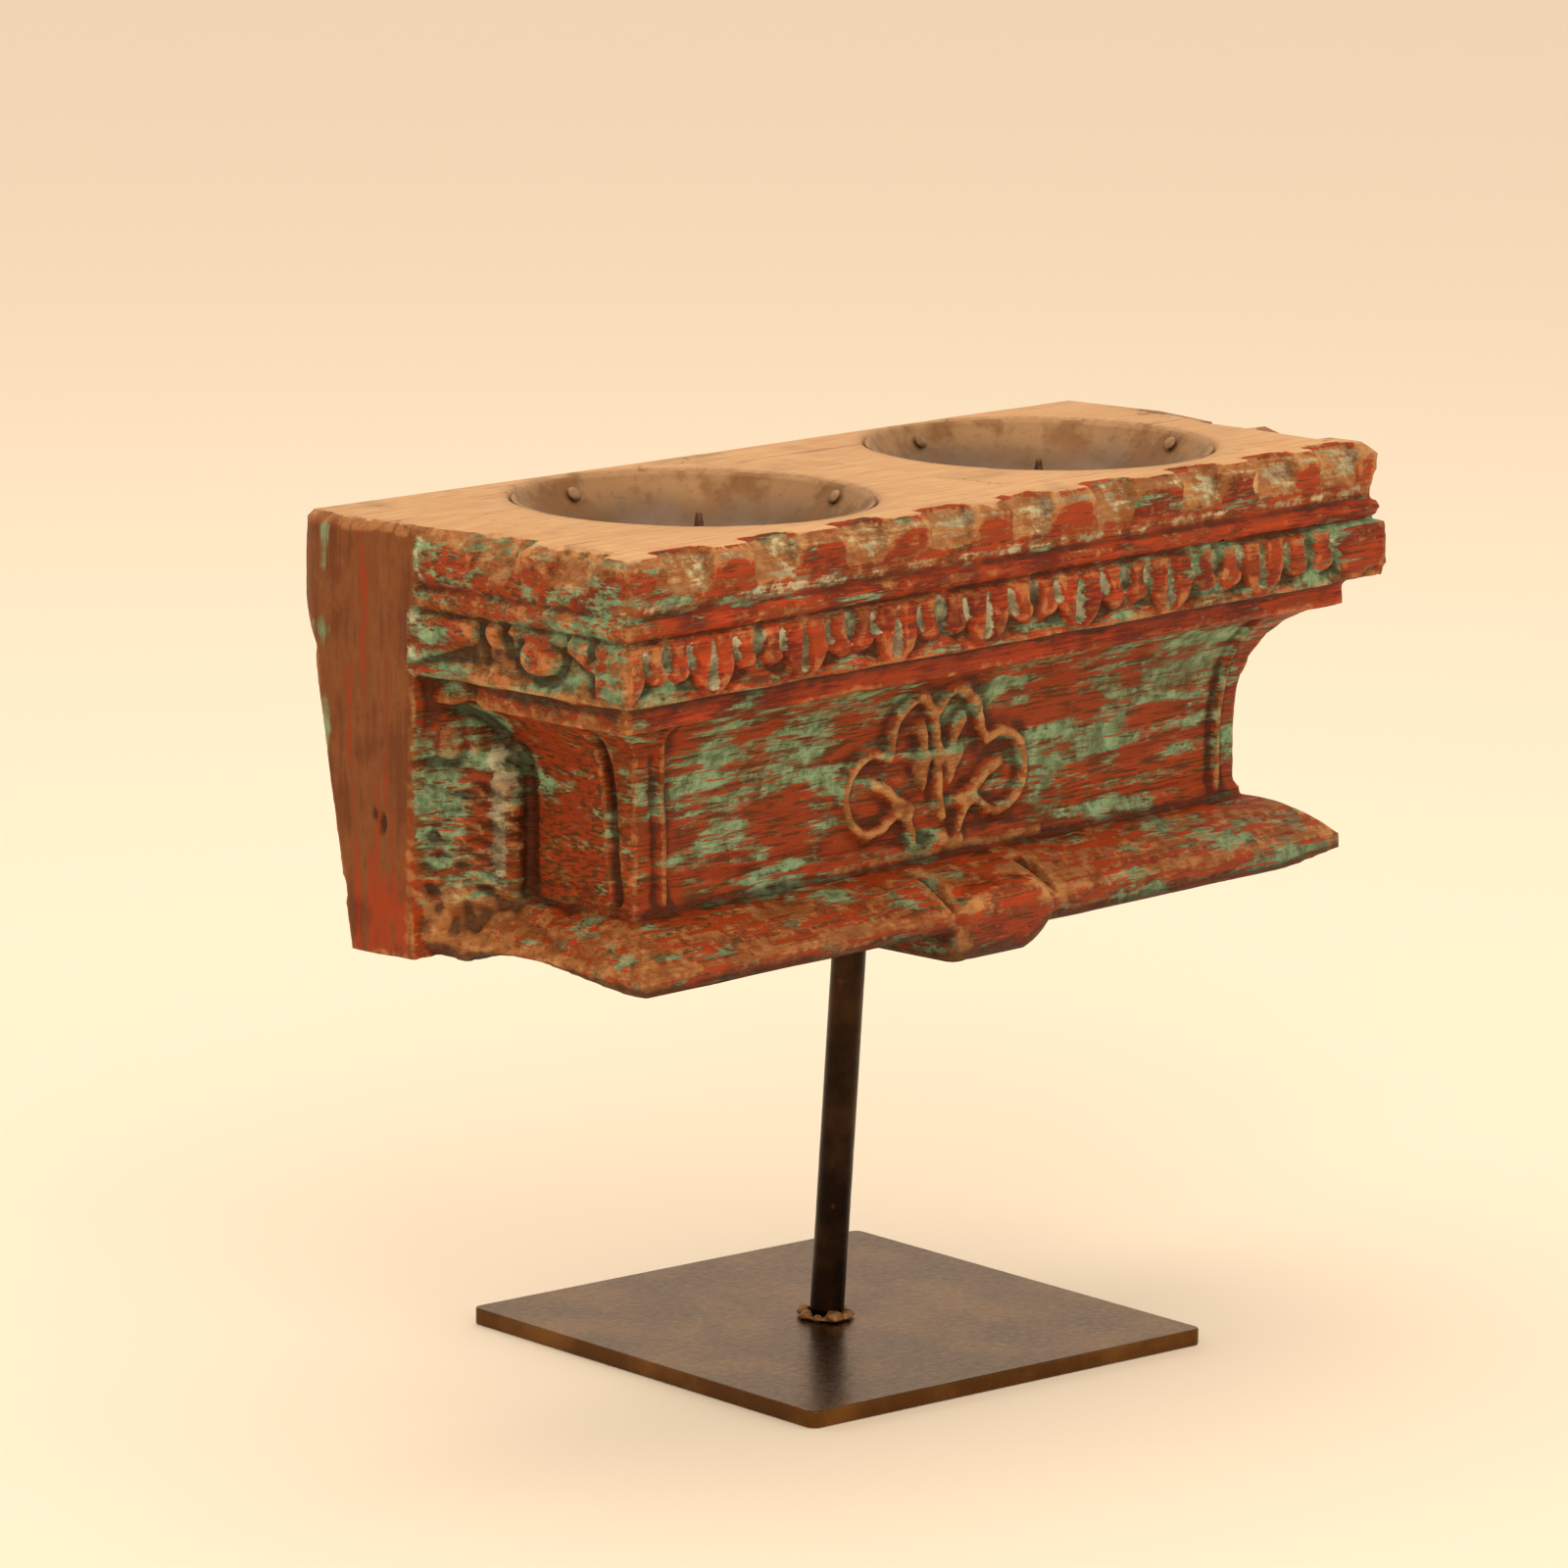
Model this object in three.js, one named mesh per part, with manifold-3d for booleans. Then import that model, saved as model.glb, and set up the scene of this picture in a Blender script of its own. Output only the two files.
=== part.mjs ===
// An old carved wooden bracket, painted and worn, held by a steel post on a square steel plate.
// Two round sheet-metal candle bowls are let into its top. Millimetres, +Z up.
// The plate's underside is at Z 0, +X runs along the bracket, and -Y is its carved front.

import * as THREE from "three";
import { mergeVertices } from "three/addons/utils/BufferGeometryUtils.js";
import Module from "manifold-3d";

const wasm = await Module();
wasm.setup();

// Driving dimensions of the stand
const plateSide = 150;
const plateThickness = 5;
const plateCorner = 3; // radius of the plate's upright corners
const plateArris = 0.6; // bevel all round its faces
const plateTurn = -6.5; // degrees that the plate stands turned under the bracket
const postDiameter = 10;
const postLean = 2.6; // degrees off upright
const postHeading = -48; // where it leans to, in degrees from +X
const postFootX = -1.9;
const postFootY = 2.1;
const socketDepth = 25; // how far the post goes into the wood
const undersideHeight = 131; // the bracket's underside above the floor
const weldWidth = 4; // size of the weld lumps round the post's foot
const weldLumps = 9;
const fitGap = 0.3; // left between pieces that touch

// Driving dimensions of the bracket's body
const bracketMiddleX = 2.2; // middle of the neck's length
const neckFaceY = -37; // the neck's front face
const neckLength = 257.8;
const bodyDepth = 97; // neck face to the plank's back
const bracketHeight = 120.5;
const plankThickness = 43;
const plankStep = 0.4; // its ends stand this far past the fascia
const plankTaper = 18.5; // how much thinner the plank is at its foot
const plankArris = 7; // worn roundness of its back edges
const headReach = 4; // how much deeper the plank's head is at its left end than at its right
const headHeight = 25.5; // down to where the head is full
const headStep = 13; // height in which it dies away below that

// How far the mouldings stand out from the neck, at the front and at the ends
const crownFrontReach = 27.1;
const crownEndReach = 32.1;
const lipFrontReach = 24.3;
const lipEndReach = 20.8;

// Mouldings at the foot, above the bracket's underside
const lipEdge = 4.8;
const lipRise = 15.5;
const ledgeHeight = 3;
const ledgeReach = 1.3;
const lipSag = 3.2; // how much lower the lip hangs right of the bud
const lipSagFade = 26; // length at its right tip in which that dies away
const hollowRise = 4; // hollow under the lip's left end
const hollowStart = 9; // from the plank's front
const hollowLength = 62;

// Mouldings at the top: drops are below the bracket's top, setbacks are behind the bead
const topArris = 3.2;
const fasciaSetback = 1.1;
const beadDrop = 19.4;
const beadRadius = 2.6;
const bandDrop = 22.7;
const bandHeight = 17.3;
const bandSetback = 2.2; // the ground behind the leaves
const filletGap = 1.6;
const filletHeight = 6.9;
const filletSetback = 7.2;
const coveHeight = 30;

// Notched crest along the top edge
const notchWidth = 16.5;
const notchPitch = 35.4;
const notchDrift = [0, -0.6, 0.5, 0.7, -0.7, 0, 3.5, 1.8, -4.7]; // off the even places
const firstNotch = 16.8; // from the crown's left corner to the first notch's start
const notchDepth = 9.5; // how far back its sloping floor reaches the top
const notchDrop = 11.5; // the floor's lower edge below the top
const notchFlare = 4; // how much wider its right side is at the top
const firstEndNotch = 21; // from the plank's front
const endNotchPitch = 29;
const endNotchWidth = 14.5;

// Leaf band: drooping lobes with cut slots
const leafPitchGrowth = 0.94; // each unit is this much wider than the one before
const firstLeafPitch = 35.7;
const firstLeaf = -1.4; // from the crown's left corner to the first unit's middle
const leafThickness = 3.6;
const leafTilt = 5; // degrees that the leaves lean out at the bottom
const slotLength = 12.5;
const slotWidth = 2.6;
const eyeHeight = 4.2; // half height of the hole between two units
const eyeWidth = 1.7;
const endLeafPitch = 37;
const leftPlain = 5; // length of the band without slots at its left end
const rightPlain = 17;
const cornerLean = 5; // how far the worn right end of the band leans out
const cornerLength = 18;

// Palmette on the neck
const palmetteX = -6.5; // its middle, from the middle of the neck
const palmetteBase = 16;
const ringRadius = 11.6;
const ringSpread = 26.7;
const ringHeight = 37.4;
const stripWidth = 2.5;
const reliefHeight = 1.9;

// Panel beads and end grooves
const panelMargin = 10; // from the neck's corner to the bead line
const panelBeadWidth = 2.6;
const grooveOffset = 5.5; // its middle from the neck's corner, at its foot
const grooveBow = 3; // further back at mid height
const grooveWidth = 3.6;
const grooveDepth = 2.2;

// Bud in the middle of the lip
const budWidth = 42;
const budTop = 10.5;
const budDrop = 9.3;
const budFront = 1.5; // how far it stands in front of the lip
const budKeel = 55; // how far back it runs under the block
const budRound = 4;
const veeWidth = 9;

// Side scrolls between the neck and the plank
const scrollReach = 5.5; // out from the neck's end at its front edge
const scrollSpread = 21; // how much further it stands out at the plank
const scrollDepth = 14.5; // forward from the plank at its foot
const scrollFoot = 2; // height of its foot
const scrollGap = 1; // between its top and the fillet
const curlRadius = 7;
const scrollRound = 2.4;
const ridgeCount = 5;
const ridgePitch = 6.4;
const ridgeWidth = 4.6;
const ridgeSlant = 14; // degrees

// Candle bowls, spikes and nails
const bowlDiameter = 100;
const bowlSpacing = 148;
const bowlMiddleX = 9.8; // middle of the pair, from the middle of the neck
const bowlShift = 4; // how far they sit behind the middle of the top
const bowlDepth = 27;
const bowlSheet = 1;
const rimDrop = 0.5; // the rim lies this far below the wood
const spikeDiameter = 3.8;
const spikeFootDiameter = 9;
const spikeFootThickness = 0.9;
const spikeClearance = 2.5; // tip to rim plane
const leftSpikeTurn = 3.4; // degrees that the left one sits off the bowl's middle
const nailTurns = [-15, 90, 172, 262]; // degrees from +X
const nailDrops = [3.6, 4.7, 4.2, 4.3]; // below the rim
const nailHeadDiameter = 5.6;
const nailHeadHeight = 1.4;
const nailShankDiameter = 2;
const nailLength = 12;

// Worked out from the above
const neckHalf = neckLength / 2;
const crownHalf = neckHalf + crownEndReach;
const plankHalf = crownHalf - fasciaSetback + plankStep;
const plankFront = bodyDepth - plankThickness;
const notchFloor = bracketHeight - notchDrop;
const beadHeight = bracketHeight - beadDrop;
const bandTop = bracketHeight - bandDrop;
const bandBottom = bandTop - bandHeight;
const filletTop = bandBottom - filletGap;
const coveTop = filletTop - filletHeight;
const coveBottom = coveTop - coveHeight;
const scrollTop = coveTop - scrollGap;
const bowlY = (bodyDepth - crownFrontReach + fasciaSetback) / 2 + bowlShift;
const rimHeight = bracketHeight - rimDrop;
const bowlRadius = bowlDiameter / 2;
const bowlSphere = (bowlRadius ** 2 + bowlDepth ** 2) / (2 * bowlDepth);
const bowlCentreHeight = rimHeight + bowlSphere - bowlDepth;

// The bowls' facets, and how far their flats lie inside the true round
const bowlSides = 28;
const bowlRings = 6;
const bowlSpread = Math.asin(bowlRadius / bowlSphere);
const wallSag =
  bowlRadius * (1 - Math.cos(Math.PI / bowlSides)) +
  bowlSphere * (1 - Math.cos(bowlSpread / bowlRings / 2));

const sliver = 0.02; // a step smaller than this is smoothed away

const degrees = THREE.MathUtils.degToRad;
const up = new THREE.Vector3(0, 0, 1);

// The three carved faces: where the neck's plane is, which way it runs and which way is out.
const faces = {
  front: {
    start: new THREE.Vector3(0, 0, 0),
    along: new THREE.Vector3(1, 0, 0),
    out: new THREE.Vector3(0, -1, 0),
    crown: crownFrontReach,
    lip: lipFrontReach,
  },
  left: {
    start: new THREE.Vector3(-neckHalf, 0, 0),
    along: new THREE.Vector3(0, -1, 0),
    out: new THREE.Vector3(-1, 0, 0),
    crown: crownEndReach,
    lip: lipEndReach,
  },
  right: {
    start: new THREE.Vector3(neckHalf, 0, 0),
    along: new THREE.Vector3(0, 1, 0),
    out: new THREE.Vector3(1, 0, 0),
    crown: crownEndReach,
    lip: lipEndReach,
  },
};

// A closed geometry as a solid that can be joined and cut
function solid(geometry) {
  const bare = geometry.index ? geometry.toNonIndexed() : geometry.clone();
  bare.deleteAttribute("normal");
  bare.deleteAttribute("uv");
  const merged = mergeVertices(bare, 1e-4);
  const mesh = new wasm.Mesh({
    numProp: 3,
    vertProperties: new Float32Array(merged.attributes.position.array),
    triVerts: new Uint32Array(merged.index.array),
  });
  return new wasm.Manifold(mesh);
}

// The solid as a geometry with flat faces, without the slivers that cutting leaves
function geometryOf(shape) {
  const mesh = shape.simplify(sliver).getMesh();
  const geometry = new THREE.BufferGeometry();
  geometry.setAttribute("position", new THREE.BufferAttribute(mesh.vertProperties, 3));
  geometry.setIndex(new THREE.BufferAttribute(mesh.triVerts, 1));
  const flat = geometry.toNonIndexed();
  flat.computeVertexNormals();
  return flat;
}

function joined(solids) {
  return solids.reduce((sum, next) => sum.add(next));
}

function shapeOf(points) {
  return new THREE.Shape(points.map(([x, y]) => new THREE.Vector2(x, y)));
}

// An outline, as a shape or as points, pulled straight out along local Z
function pulled(outline, depth, curveSegments = 4) {
  const shape = Array.isArray(outline) ? shapeOf(outline) : outline;
  const options = { depth, bevelEnabled: false, curveSegments };
  return solid(new THREE.ExtrudeGeometry(shape, options));
}

// An outline pulled out with all its edges rounded inside it
function rounded(outline, depth, round, bevelSegments, curveSegments = 4) {
  const options = {
    depth: depth - 2 * round,
    bevelEnabled: true,
    bevelThickness: round,
    bevelSize: round,
    bevelOffset: -round,
    bevelSegments,
    curveSegments,
  };
  return solid(new THREE.ExtrudeGeometry(outline, options)).translate([0, 0, round]);
}

// Turns local X, Y, Z into along, up and out on a carved face
function onFace(face, shape) {
  const place = new THREE.Matrix4().makeBasis(face.along, up, face.out).setPosition(face.start);
  return shape.transform(place.elements);
}

// An outline drawn as [along, height] on a carved face, raised from one reach out to another
function raised(face, outline, from, to, curveSegments) {
  return onFace(face, pulled(outline, to - from, curveSegments).translate([0, 0, from]));
}

// An outline drawn as [reach, height], run along a carved face between two places
function run(face, outline, from, to) {
  const back = face.along.clone().negate();
  const place = new THREE.Matrix4().makeBasis(face.out, up, back).setPosition(face.start);
  return pulled(outline, to - from).translate([0, 0, -to]).transform(place.elements);
}

// A plan outline drawn as [x, y], pulled up between two heights
function upright(outline, from, to) {
  return pulled(outline, to - from).translate([0, 0, from]);
}

// What the given function makes of equal steps from 0 to 1
function steps(count, place) {
  return Array.from({ length: count + 1 }, (unused, i) => place(i / count));
}

// Reach of the cove at a height, a quarter of an ellipse
function coveReach(crownReach, height) {
  const reach = crownReach - filletSetback - 1;
  const share = THREE.MathUtils.clamp((height - coveBottom) / (coveTop - coveBottom), 0, 1);
  return reach * (1 - Math.sqrt(1 - share * share));
}

// The moulding's section as [reach, height], from the underside to the top
function mouldingSection(face, proud = 0) {
  const { crown, lip } = face;
  const ogee = steps(5, (t) => {
    const reach = lip + (ledgeReach - lip) * t;
    return [reach, lipEdge + (lipRise - lipEdge) * (1 - (reach / lip) ** 2)];
  });
  const cove = steps(6, (t) => {
    const height = coveBottom + (coveTop - coveBottom) * Math.sin((t * Math.PI) / 2);
    return [coveReach(crown, height) + proud, height];
  });
  const bead = steps(4, (t) => {
    const turn = Math.PI * (t - 0.5);
    const centre = crown - beadRadius;
    return [centre + beadRadius * Math.cos(turn), beadHeight + beadRadius * Math.sin(turn)];
  });
  return [
    [lip, 0],
    ...ogee,
    [ledgeReach, lipRise + ledgeHeight],
    [proud, lipRise + ledgeHeight + ledgeReach],
    ...cove,
    [crown - filletSetback, coveTop],
    [crown - filletSetback, filletTop],
    [crown - 0.6, bandBottom],
    [crown - bandSetback, bandBottom + 0.3 * bandHeight],
    [crown - bandSetback, bandTop],
    ...bead,
    [crown - fasciaSetback - 0.7, beadHeight + beadRadius],
    [crown - fasciaSetback, notchFloor - 3],
    [crown - fasciaSetback, bracketHeight - topArris],
    [crown - fasciaSetback - topArris, bracketHeight],
  ];
}

// The moulded block: the front's section and the ends' section meet in mitred corners.
function mouldedBlock(proud = 0) {
  const inside = plankFront + 10;
  const frontSection = mouldingSection(faces.front, proud);
  const front = run(
    faces.front,
    [[-inside, 0], ...frontSection, [-inside, bracketHeight]],
    -crownHalf - 5,
    crownHalf + 5,
  );
  const endSection = mouldingSection(faces.left, proud);
  const leftSide = endSection.map(([reach, height]) => [-neckHalf - reach, height]).reverse();
  const rightSide = endSection.map(([reach, height]) => [neckHalf + reach, height]);
  const ends = raised(faces.front, [...rightSide, ...leftSide], -inside - 5, crownFrontReach + 5);
  return front.intersect(ends);
}

// The plank at the back, thinner at its foot, with a deeper skewed head and worn edges
function backPlank() {
  const bend = bracketHeight - plankArris - headStep;
  const depthAt = (height) => bodyDepth - 0.9 - plankTaper * (1 - height / bend);
  const board = [
    [plankFront, 0],
    [depthAt(0), 0],
    [depthAt(bend), bend],
    [plankFront, bend],
  ].map(([depth, height]) => [-depth, height]);
  const plank = run(faces.front, board.reverse(), -plankHalf, plankHalf);
  const corner = plankArris * 0.8;
  const back = bodyDepth + headReach;
  const plan = upright(
    [
      [-plankHalf, 0],
      [plankHalf, 0],
      [plankHalf, bodyDepth - 1.3 * corner],
      [plankHalf - corner, bodyDepth + 1],
      [-plankHalf + corner, back + 1],
      [-plankHalf, back - 1.3 * corner],
    ],
    -1,
    bracketHeight + 1,
  );
  return plank.add(plankHead(depthAt)).intersect(plan);
}

// The plank's head: it stands further back towards the left, over the board below it.
function plankHead(depthAt) {
  const foot = bracketHeight - headHeight - headStep;
  const middle = bodyDepth + headReach / 2;
  const arris = steps(3, (t) => [
    middle - plankArris * (1 - Math.cos((t * Math.PI) / 2)),
    bracketHeight - plankArris * (1 - Math.sin((t * Math.PI) / 2)),
  ]);
  const section = [
    [plankFront + headReach, foot],
    [depthAt(foot) - headReach / 2, foot],
    [middle, bracketHeight - headHeight],
    ...arris,
    [plankFront + headReach, bracketHeight],
  ].map(([depth, height]) => [-depth, height]);
  const head = run(faces.front, section.reverse(), -plankHalf, plankHalf);
  const skew = new THREE.Matrix4();
  skew.elements[1] = -headReach / (2 * plankHalf);
  return head.transform(skew.elements);
}

// One notch's outline: square on the left, flared at the top of the right side
function notchOutline(start, width, flare) {
  const top = bracketHeight + 2;
  return [
    [start, notchFloor - 4],
    [start + width, notchFloor - 4],
    [start + width + 0.15 * flare, notchFloor + 4],
    [start + width + flare, top],
    [start - 0.5, top],
  ];
}

// The notches of one face, cut down to their sloping floors by a wedge above them
function crestNotches(face, starts, width, from, to) {
  const shallow = face.crown - notchDepth - fasciaSetback - 3;
  const outer = face.crown + 3;
  const cutters = starts.map((start) =>
    raised(face, notchOutline(start, width, notchFlare), shallow, outer),
  );
  const fall = (bracketHeight - notchFloor) / notchDepth;
  const heightAt = (reach) => notchFloor + (face.crown - fasciaSetback - reach) * fall;
  const wedge = run(
    face,
    [
      [outer, heightAt(outer)],
      [outer, heightAt(shallow)],
      [shallow, heightAt(shallow)],
    ],
    from,
    to,
  );
  return joined(cutters).intersect(wedge);
}

// Places from a start in even steps while they stay before the end
function placesAlong(start, pitch, end) {
  const places = [];
  for (let place = start; place <= end; place += pitch) places.push(place);
  return places;
}

function allNotches() {
  const evenStarts = placesAlong(-crownHalf + firstNotch, notchPitch, crownHalf - notchWidth);
  const frontStarts = evenStarts.map((start, i) => start + notchDrift[i % notchDrift.length]);
  const lastLeft = crownFrontReach - 1.3 * endNotchWidth;
  const leftStarts = placesAlong(-plankFront + firstEndNotch, endNotchPitch, lastLeft);
  const rightStarts = leftStarts.map((start) => -start - endNotchWidth);
  return joined([
    crestNotches(faces.front, frontStarts, notchWidth, -crownHalf, crownHalf),
    crestNotches(faces.left, leftStarts, endNotchWidth, -plankFront, crownFrontReach),
    crestNotches(faces.right, rightStarts, endNotchWidth, -crownFrontReach, plankFront),
  ]);
}

// One leaf unit as an outline round its middle: side lobes and a long middle lobe
function leafOutline(pitch) {
  const half = pitch / 2;
  const high = bandHeight;
  const shape = new THREE.Shape();
  shape.moveTo(-half, high);
  shape.lineTo(-half, 0.5 * high);
  shape.quadraticCurveTo(-half, 0.3 * high, -0.72 * half, 0.3 * high);
  shape.quadraticCurveTo(-0.5 * half, 0.28 * high, -0.48 * half, 0.42 * high);
  shape.quadraticCurveTo(-0.4 * half, 0.02 * high, 0, 0.02 * high);
  shape.quadraticCurveTo(0.4 * half, 0.02 * high, 0.48 * half, 0.42 * high);
  shape.quadraticCurveTo(0.5 * half, 0.28 * high, 0.72 * half, 0.3 * high);
  shape.quadraticCurveTo(half, 0.3 * high, half, 0.5 * high);
  shape.lineTo(half, high);
  return shape;
}

// The slots of one unit with their offsets: a teardrop in the middle, a bent slot each side
function leafSlots(pitch) {
  const foot = 0.12 * bandHeight;
  const wide = 0.5 * slotWidth;
  const drop = new THREE.Shape();
  drop.moveTo(0.4 * wide, foot + slotLength);
  drop.lineTo(-0.4 * wide, foot + slotLength);
  drop.lineTo(-wide, foot + 0.25 * slotLength);
  drop.quadraticCurveTo(0, foot - 0.12 * slotLength, wide, foot + 0.25 * slotLength);
  const top = 0.92 * bandHeight;
  const thin = 0.84 * wide;
  const x = 0.25 * pitch;
  const sides = [-1, 1].map((side) => {
    const bent = new THREE.Shape();
    bent.moveTo(side * (x - thin), top);
    bent.quadraticCurveTo(side * (x - thin), 0.7 * bandHeight, side * (x + thin), 0.5 * bandHeight);
    bent.quadraticCurveTo(side * (x + 2 * thin), 0.72 * bandHeight, side * (x + thin), top);
    return { shape: bent, offset: side * x };
  });
  return [{ shape: drop, offset: 0 }, ...sides];
}

// Leaf units set along one face, with an eye cut where two of them meet.
// Slots are cut only between the two given places.
function leafRow(face, middles, pitches, slotsFrom, slotsTo) {
  const ground = face.crown - bandSetback;
  const leaning = (shape, root, depth, middle) => {
    const piece = pulled(shape, root + depth, 3).translate([0, 0, -root]);
    const leant = piece.rotate([-leafTilt, 0, 0]);
    return onFace(face, leant.translate([middle, bandBottom, ground]));
  };
  const units = middles.map((middle, i) => {
    const slots = leafSlots(pitches[i])
      .filter(({ offset }) => middle + offset > slotsFrom && middle + offset < slotsTo)
      .map(({ shape }) => leaning(shape, 2 * leafThickness, 2 * leafThickness, middle));
    const leaf = leaning(leafOutline(pitches[i]), 0.6 * leafThickness, leafThickness, middle);
    return slots.reduce((left, slot) => left.subtract(slot), leaf);
  });
  const eyes = middles.map((middle, i) => {
    const eye = new THREE.Shape();
    const at = middle - pitches[i] / 2;
    eye.absellipse(at, bandBottom + 0.66 * bandHeight, eyeWidth, eyeHeight, 0, 2 * Math.PI);
    return raised(face, eye, ground - 0.6, face.crown + 3, 4);
  });
  return joined(units).subtract(joined(eyes));
}

function leafBand() {
  const middles = [];
  const pitches = [];
  let middle = -crownHalf + firstLeaf;
  let pitch = firstLeafPitch;
  while (middle < crownHalf) {
    middles.push(middle);
    pitches.push(pitch);
    middle += pitch;
    pitch += leafPitchGrowth;
  }
  const firstEnd = -plankFront + 0.52 * endLeafPitch;
  const endMiddles = placesAlong(firstEnd, endLeafPitch, crownFrontReach - 0.6 * endLeafPitch);
  const endPitches = endMiddles.map(() => endLeafPitch);
  const row = joined([
    leafRow(faces.front, middles, pitches, -crownHalf + leftPlain, crownHalf - rightPlain),
    leafRow(faces.left, endMiddles, endPitches, -plankFront, crownFrontReach - rightPlain),
    leafRow(
      faces.right,
      endMiddles.map((place) => -place),
      endPitches,
      rightPlain - crownFrontReach,
      plankFront,
    ),
  ]);
  return row.intersect(bandLimits());
}

// The band's outer limits, so that leaves end at the corners and at the plank
function bandLimits() {
  const proud = 1.4;
  const endX = crownHalf + proud;
  return upright(
    [
      [-endX, -crownFrontReach - proud],
      [endX, -crownFrontReach - proud],
      [endX, plankFront + 5],
      [-endX, plankFront + 5],
    ],
    bandBottom - 1,
    bandTop + 0.5,
  );
}

// The band's plain corners: a block round the left one, and a worn lean at the right one
function bandCorners() {
  const left = upright(
    [
      [-crownHalf - 1.2, -crownFrontReach - 1.2],
      [-crownHalf + 3, -crownFrontReach - 1.2],
      [-crownHalf + 3, -crownFrontReach + cornerLength],
      [-crownHalf - 1.2, -crownFrontReach + cornerLength],
    ],
    bandBottom,
    bandTop - 2,
  );
  const { crown } = faces.right;
  const high = crown - 1.6;
  const right = run(
    faces.right,
    [
      [crown - 7, bandBottom],
      [high + 0.8 * cornerLean, bandBottom],
      [high + cornerLean, bandBottom + 2.5],
      [high, bandTop - 1],
      [crown - 7, bandTop - 1],
    ],
    -crownFrontReach - 1,
    -crownFrontReach + cornerLength,
  );
  return left.add(right);
}

// A flat strip of even width that follows a smooth line through the points
function strip(points, width, count = 10) {
  const line = new THREE.SplineCurve(points.map(([x, y]) => new THREE.Vector2(x, y)));
  const left = [];
  const right = [];
  for (let i = 0; i <= count; i += 1) {
    const at = line.getPoint(i / count);
    const along = line.getTangent(i / count);
    const side = new THREE.Vector2(-along.y, along.x).multiplyScalar(width / 2);
    left.push(at.clone().add(side));
    right.unshift(at.clone().sub(side));
  }
  return new THREE.Shape([...left, ...right]);
}

// A strip bent round a centre, between two angles in degrees
function arcStrip(x, y, radius, from, to, width) {
  const points = steps(6, (t) => {
    const turn = degrees(from + (to - from) * t);
    return [x + radius * Math.cos(turn), y + radius * Math.sin(turn)];
  });
  return strip(points, width, 14);
}

// The palmette's strips and leaves, drawn round its own middle
function palmetteShapes() {
  const shapes = [];
  for (const side of [-1, 1]) {
    const ringX = side * ringSpread;
    const foot = ringHeight - ringRadius;
    const turn = (angle) => (side > 0 ? angle : 180 - angle);
    shapes.push(arcStrip(ringX, ringHeight, ringRadius, turn(128), turn(-118), stripWidth));
    shapes.push(
      strip(
        [
          [side * (ringSpread - 4), foot + 1],
          [side * (ringSpread - 10), foot + 4.6],
          [side * 12.4, foot + 2.4],
          [side * 9.6, foot - 3],
          [side * 9.8, palmetteBase],
        ],
        stripWidth,
      ),
    );
    shapes.push(
      strip(
        [
          [side * (ringSpread + 1.5), ringHeight + 3],
          [side * (ringSpread - 5), ringHeight + 0.6],
          [side * (ringSpread - 9), ringHeight - 2.6],
          [side * (ringSpread - 17.5), ringHeight - 7],
        ],
        stripWidth * 1.25,
      ),
    );
    shapes.push(
      shapeOf([
        [side * 2.6, ringHeight + 9],
        [side * 11.5, ringHeight + 9.4],
        [side * 5.2, ringHeight - 2.4],
      ]),
    );
    shapes.push(
      strip(
        [
          [side * 6, ringHeight + 9.5],
          [side * 6.4, ringHeight + 13],
          [side * 9.4, ringHeight + 18.6],
        ],
        stripWidth,
        5,
      ),
    );
  }
  const petalTop = ringHeight + 27;
  shapes.push(
    strip(
      [
        [-19.6, ringHeight + 11],
        [-20.6, ringHeight + 20],
        [-15.5, petalTop - 0.8],
        [-9, petalTop - 2.6],
        [-3, ringHeight + 17.5],
        [0.3, ringHeight + 9],
      ],
      stripWidth,
      14,
    ),
  );
  shapes.push(
    strip(
      [
        [-3.6, petalTop - 6],
        [-1.2, petalTop - 0.8],
        [3.5, petalTop],
        [12.6, petalTop - 5],
        [16, ringHeight + 17],
        [19.8, ringHeight + 11],
      ],
      stripWidth,
      14,
    ),
  );
  const stemFoot = 26;
  shapes.push(strip([[0.2, ringHeight + 9.5], [1.4, 32], [3.4, stemFoot]], stripWidth * 1.2, 5));
  shapes.push(
    shapeOf([
      [0, stemFoot - 2.4],
      [5.4, stemFoot - 2.8],
      [5.4, stemFoot - 6.2],
      [0, stemFoot - 5.6],
    ]),
  );
  return shapes;
}

// The palmette raised on the neck and cove: the strips are cut to a skin over the block.
function palmette() {
  const strips = palmetteShapes().map((shape) =>
    raised(faces.front, shape, -2, crownFrontReach).translate([palmetteX, 0, 0]),
  );
  return joined(strips).intersect(mouldedBlock(reliefHeight));
}

// The bead line at each end of the front panel, spreading with the cove at its top
function panelBeads() {
  const lines = [-1, 1].map((side) => {
    const points = steps(5, (t) => {
      const height = lipRise + ledgeHeight + (coveTop - lipRise - ledgeHeight) * t;
      const spread = side < 0 ? 0.95 : 0.15;
      return [side * (neckHalf - panelMargin + spread * coveReach(crownEndReach, height)), height];
    });
    return raised(faces.front, strip(points, panelBeadWidth, 8), -2, crownFrontReach);
  });
  return joined(lines).intersect(mouldedBlock(0.8 * reliefHeight));
}

// A bowed groove near the front corner of each end of the neck, following the cove to its top
function endGrooves() {
  const foot = lipRise + ledgeHeight;
  const grooves = [faces.left, faces.right].map((face) => {
    const side = face === faces.left ? -1 : 1;
    const points = steps(4, (t) => [
      side * (grooveOffset + grooveBow * Math.sin(Math.PI * t)),
      foot + (coveTop - 1 - foot) * t,
    ]);
    return raised(face, strip(points, grooveWidth, 6), -grooveDepth, crownEndReach);
  });
  return joined(grooves).subtract(mouldedBlock(-grooveDepth));
}

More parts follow.
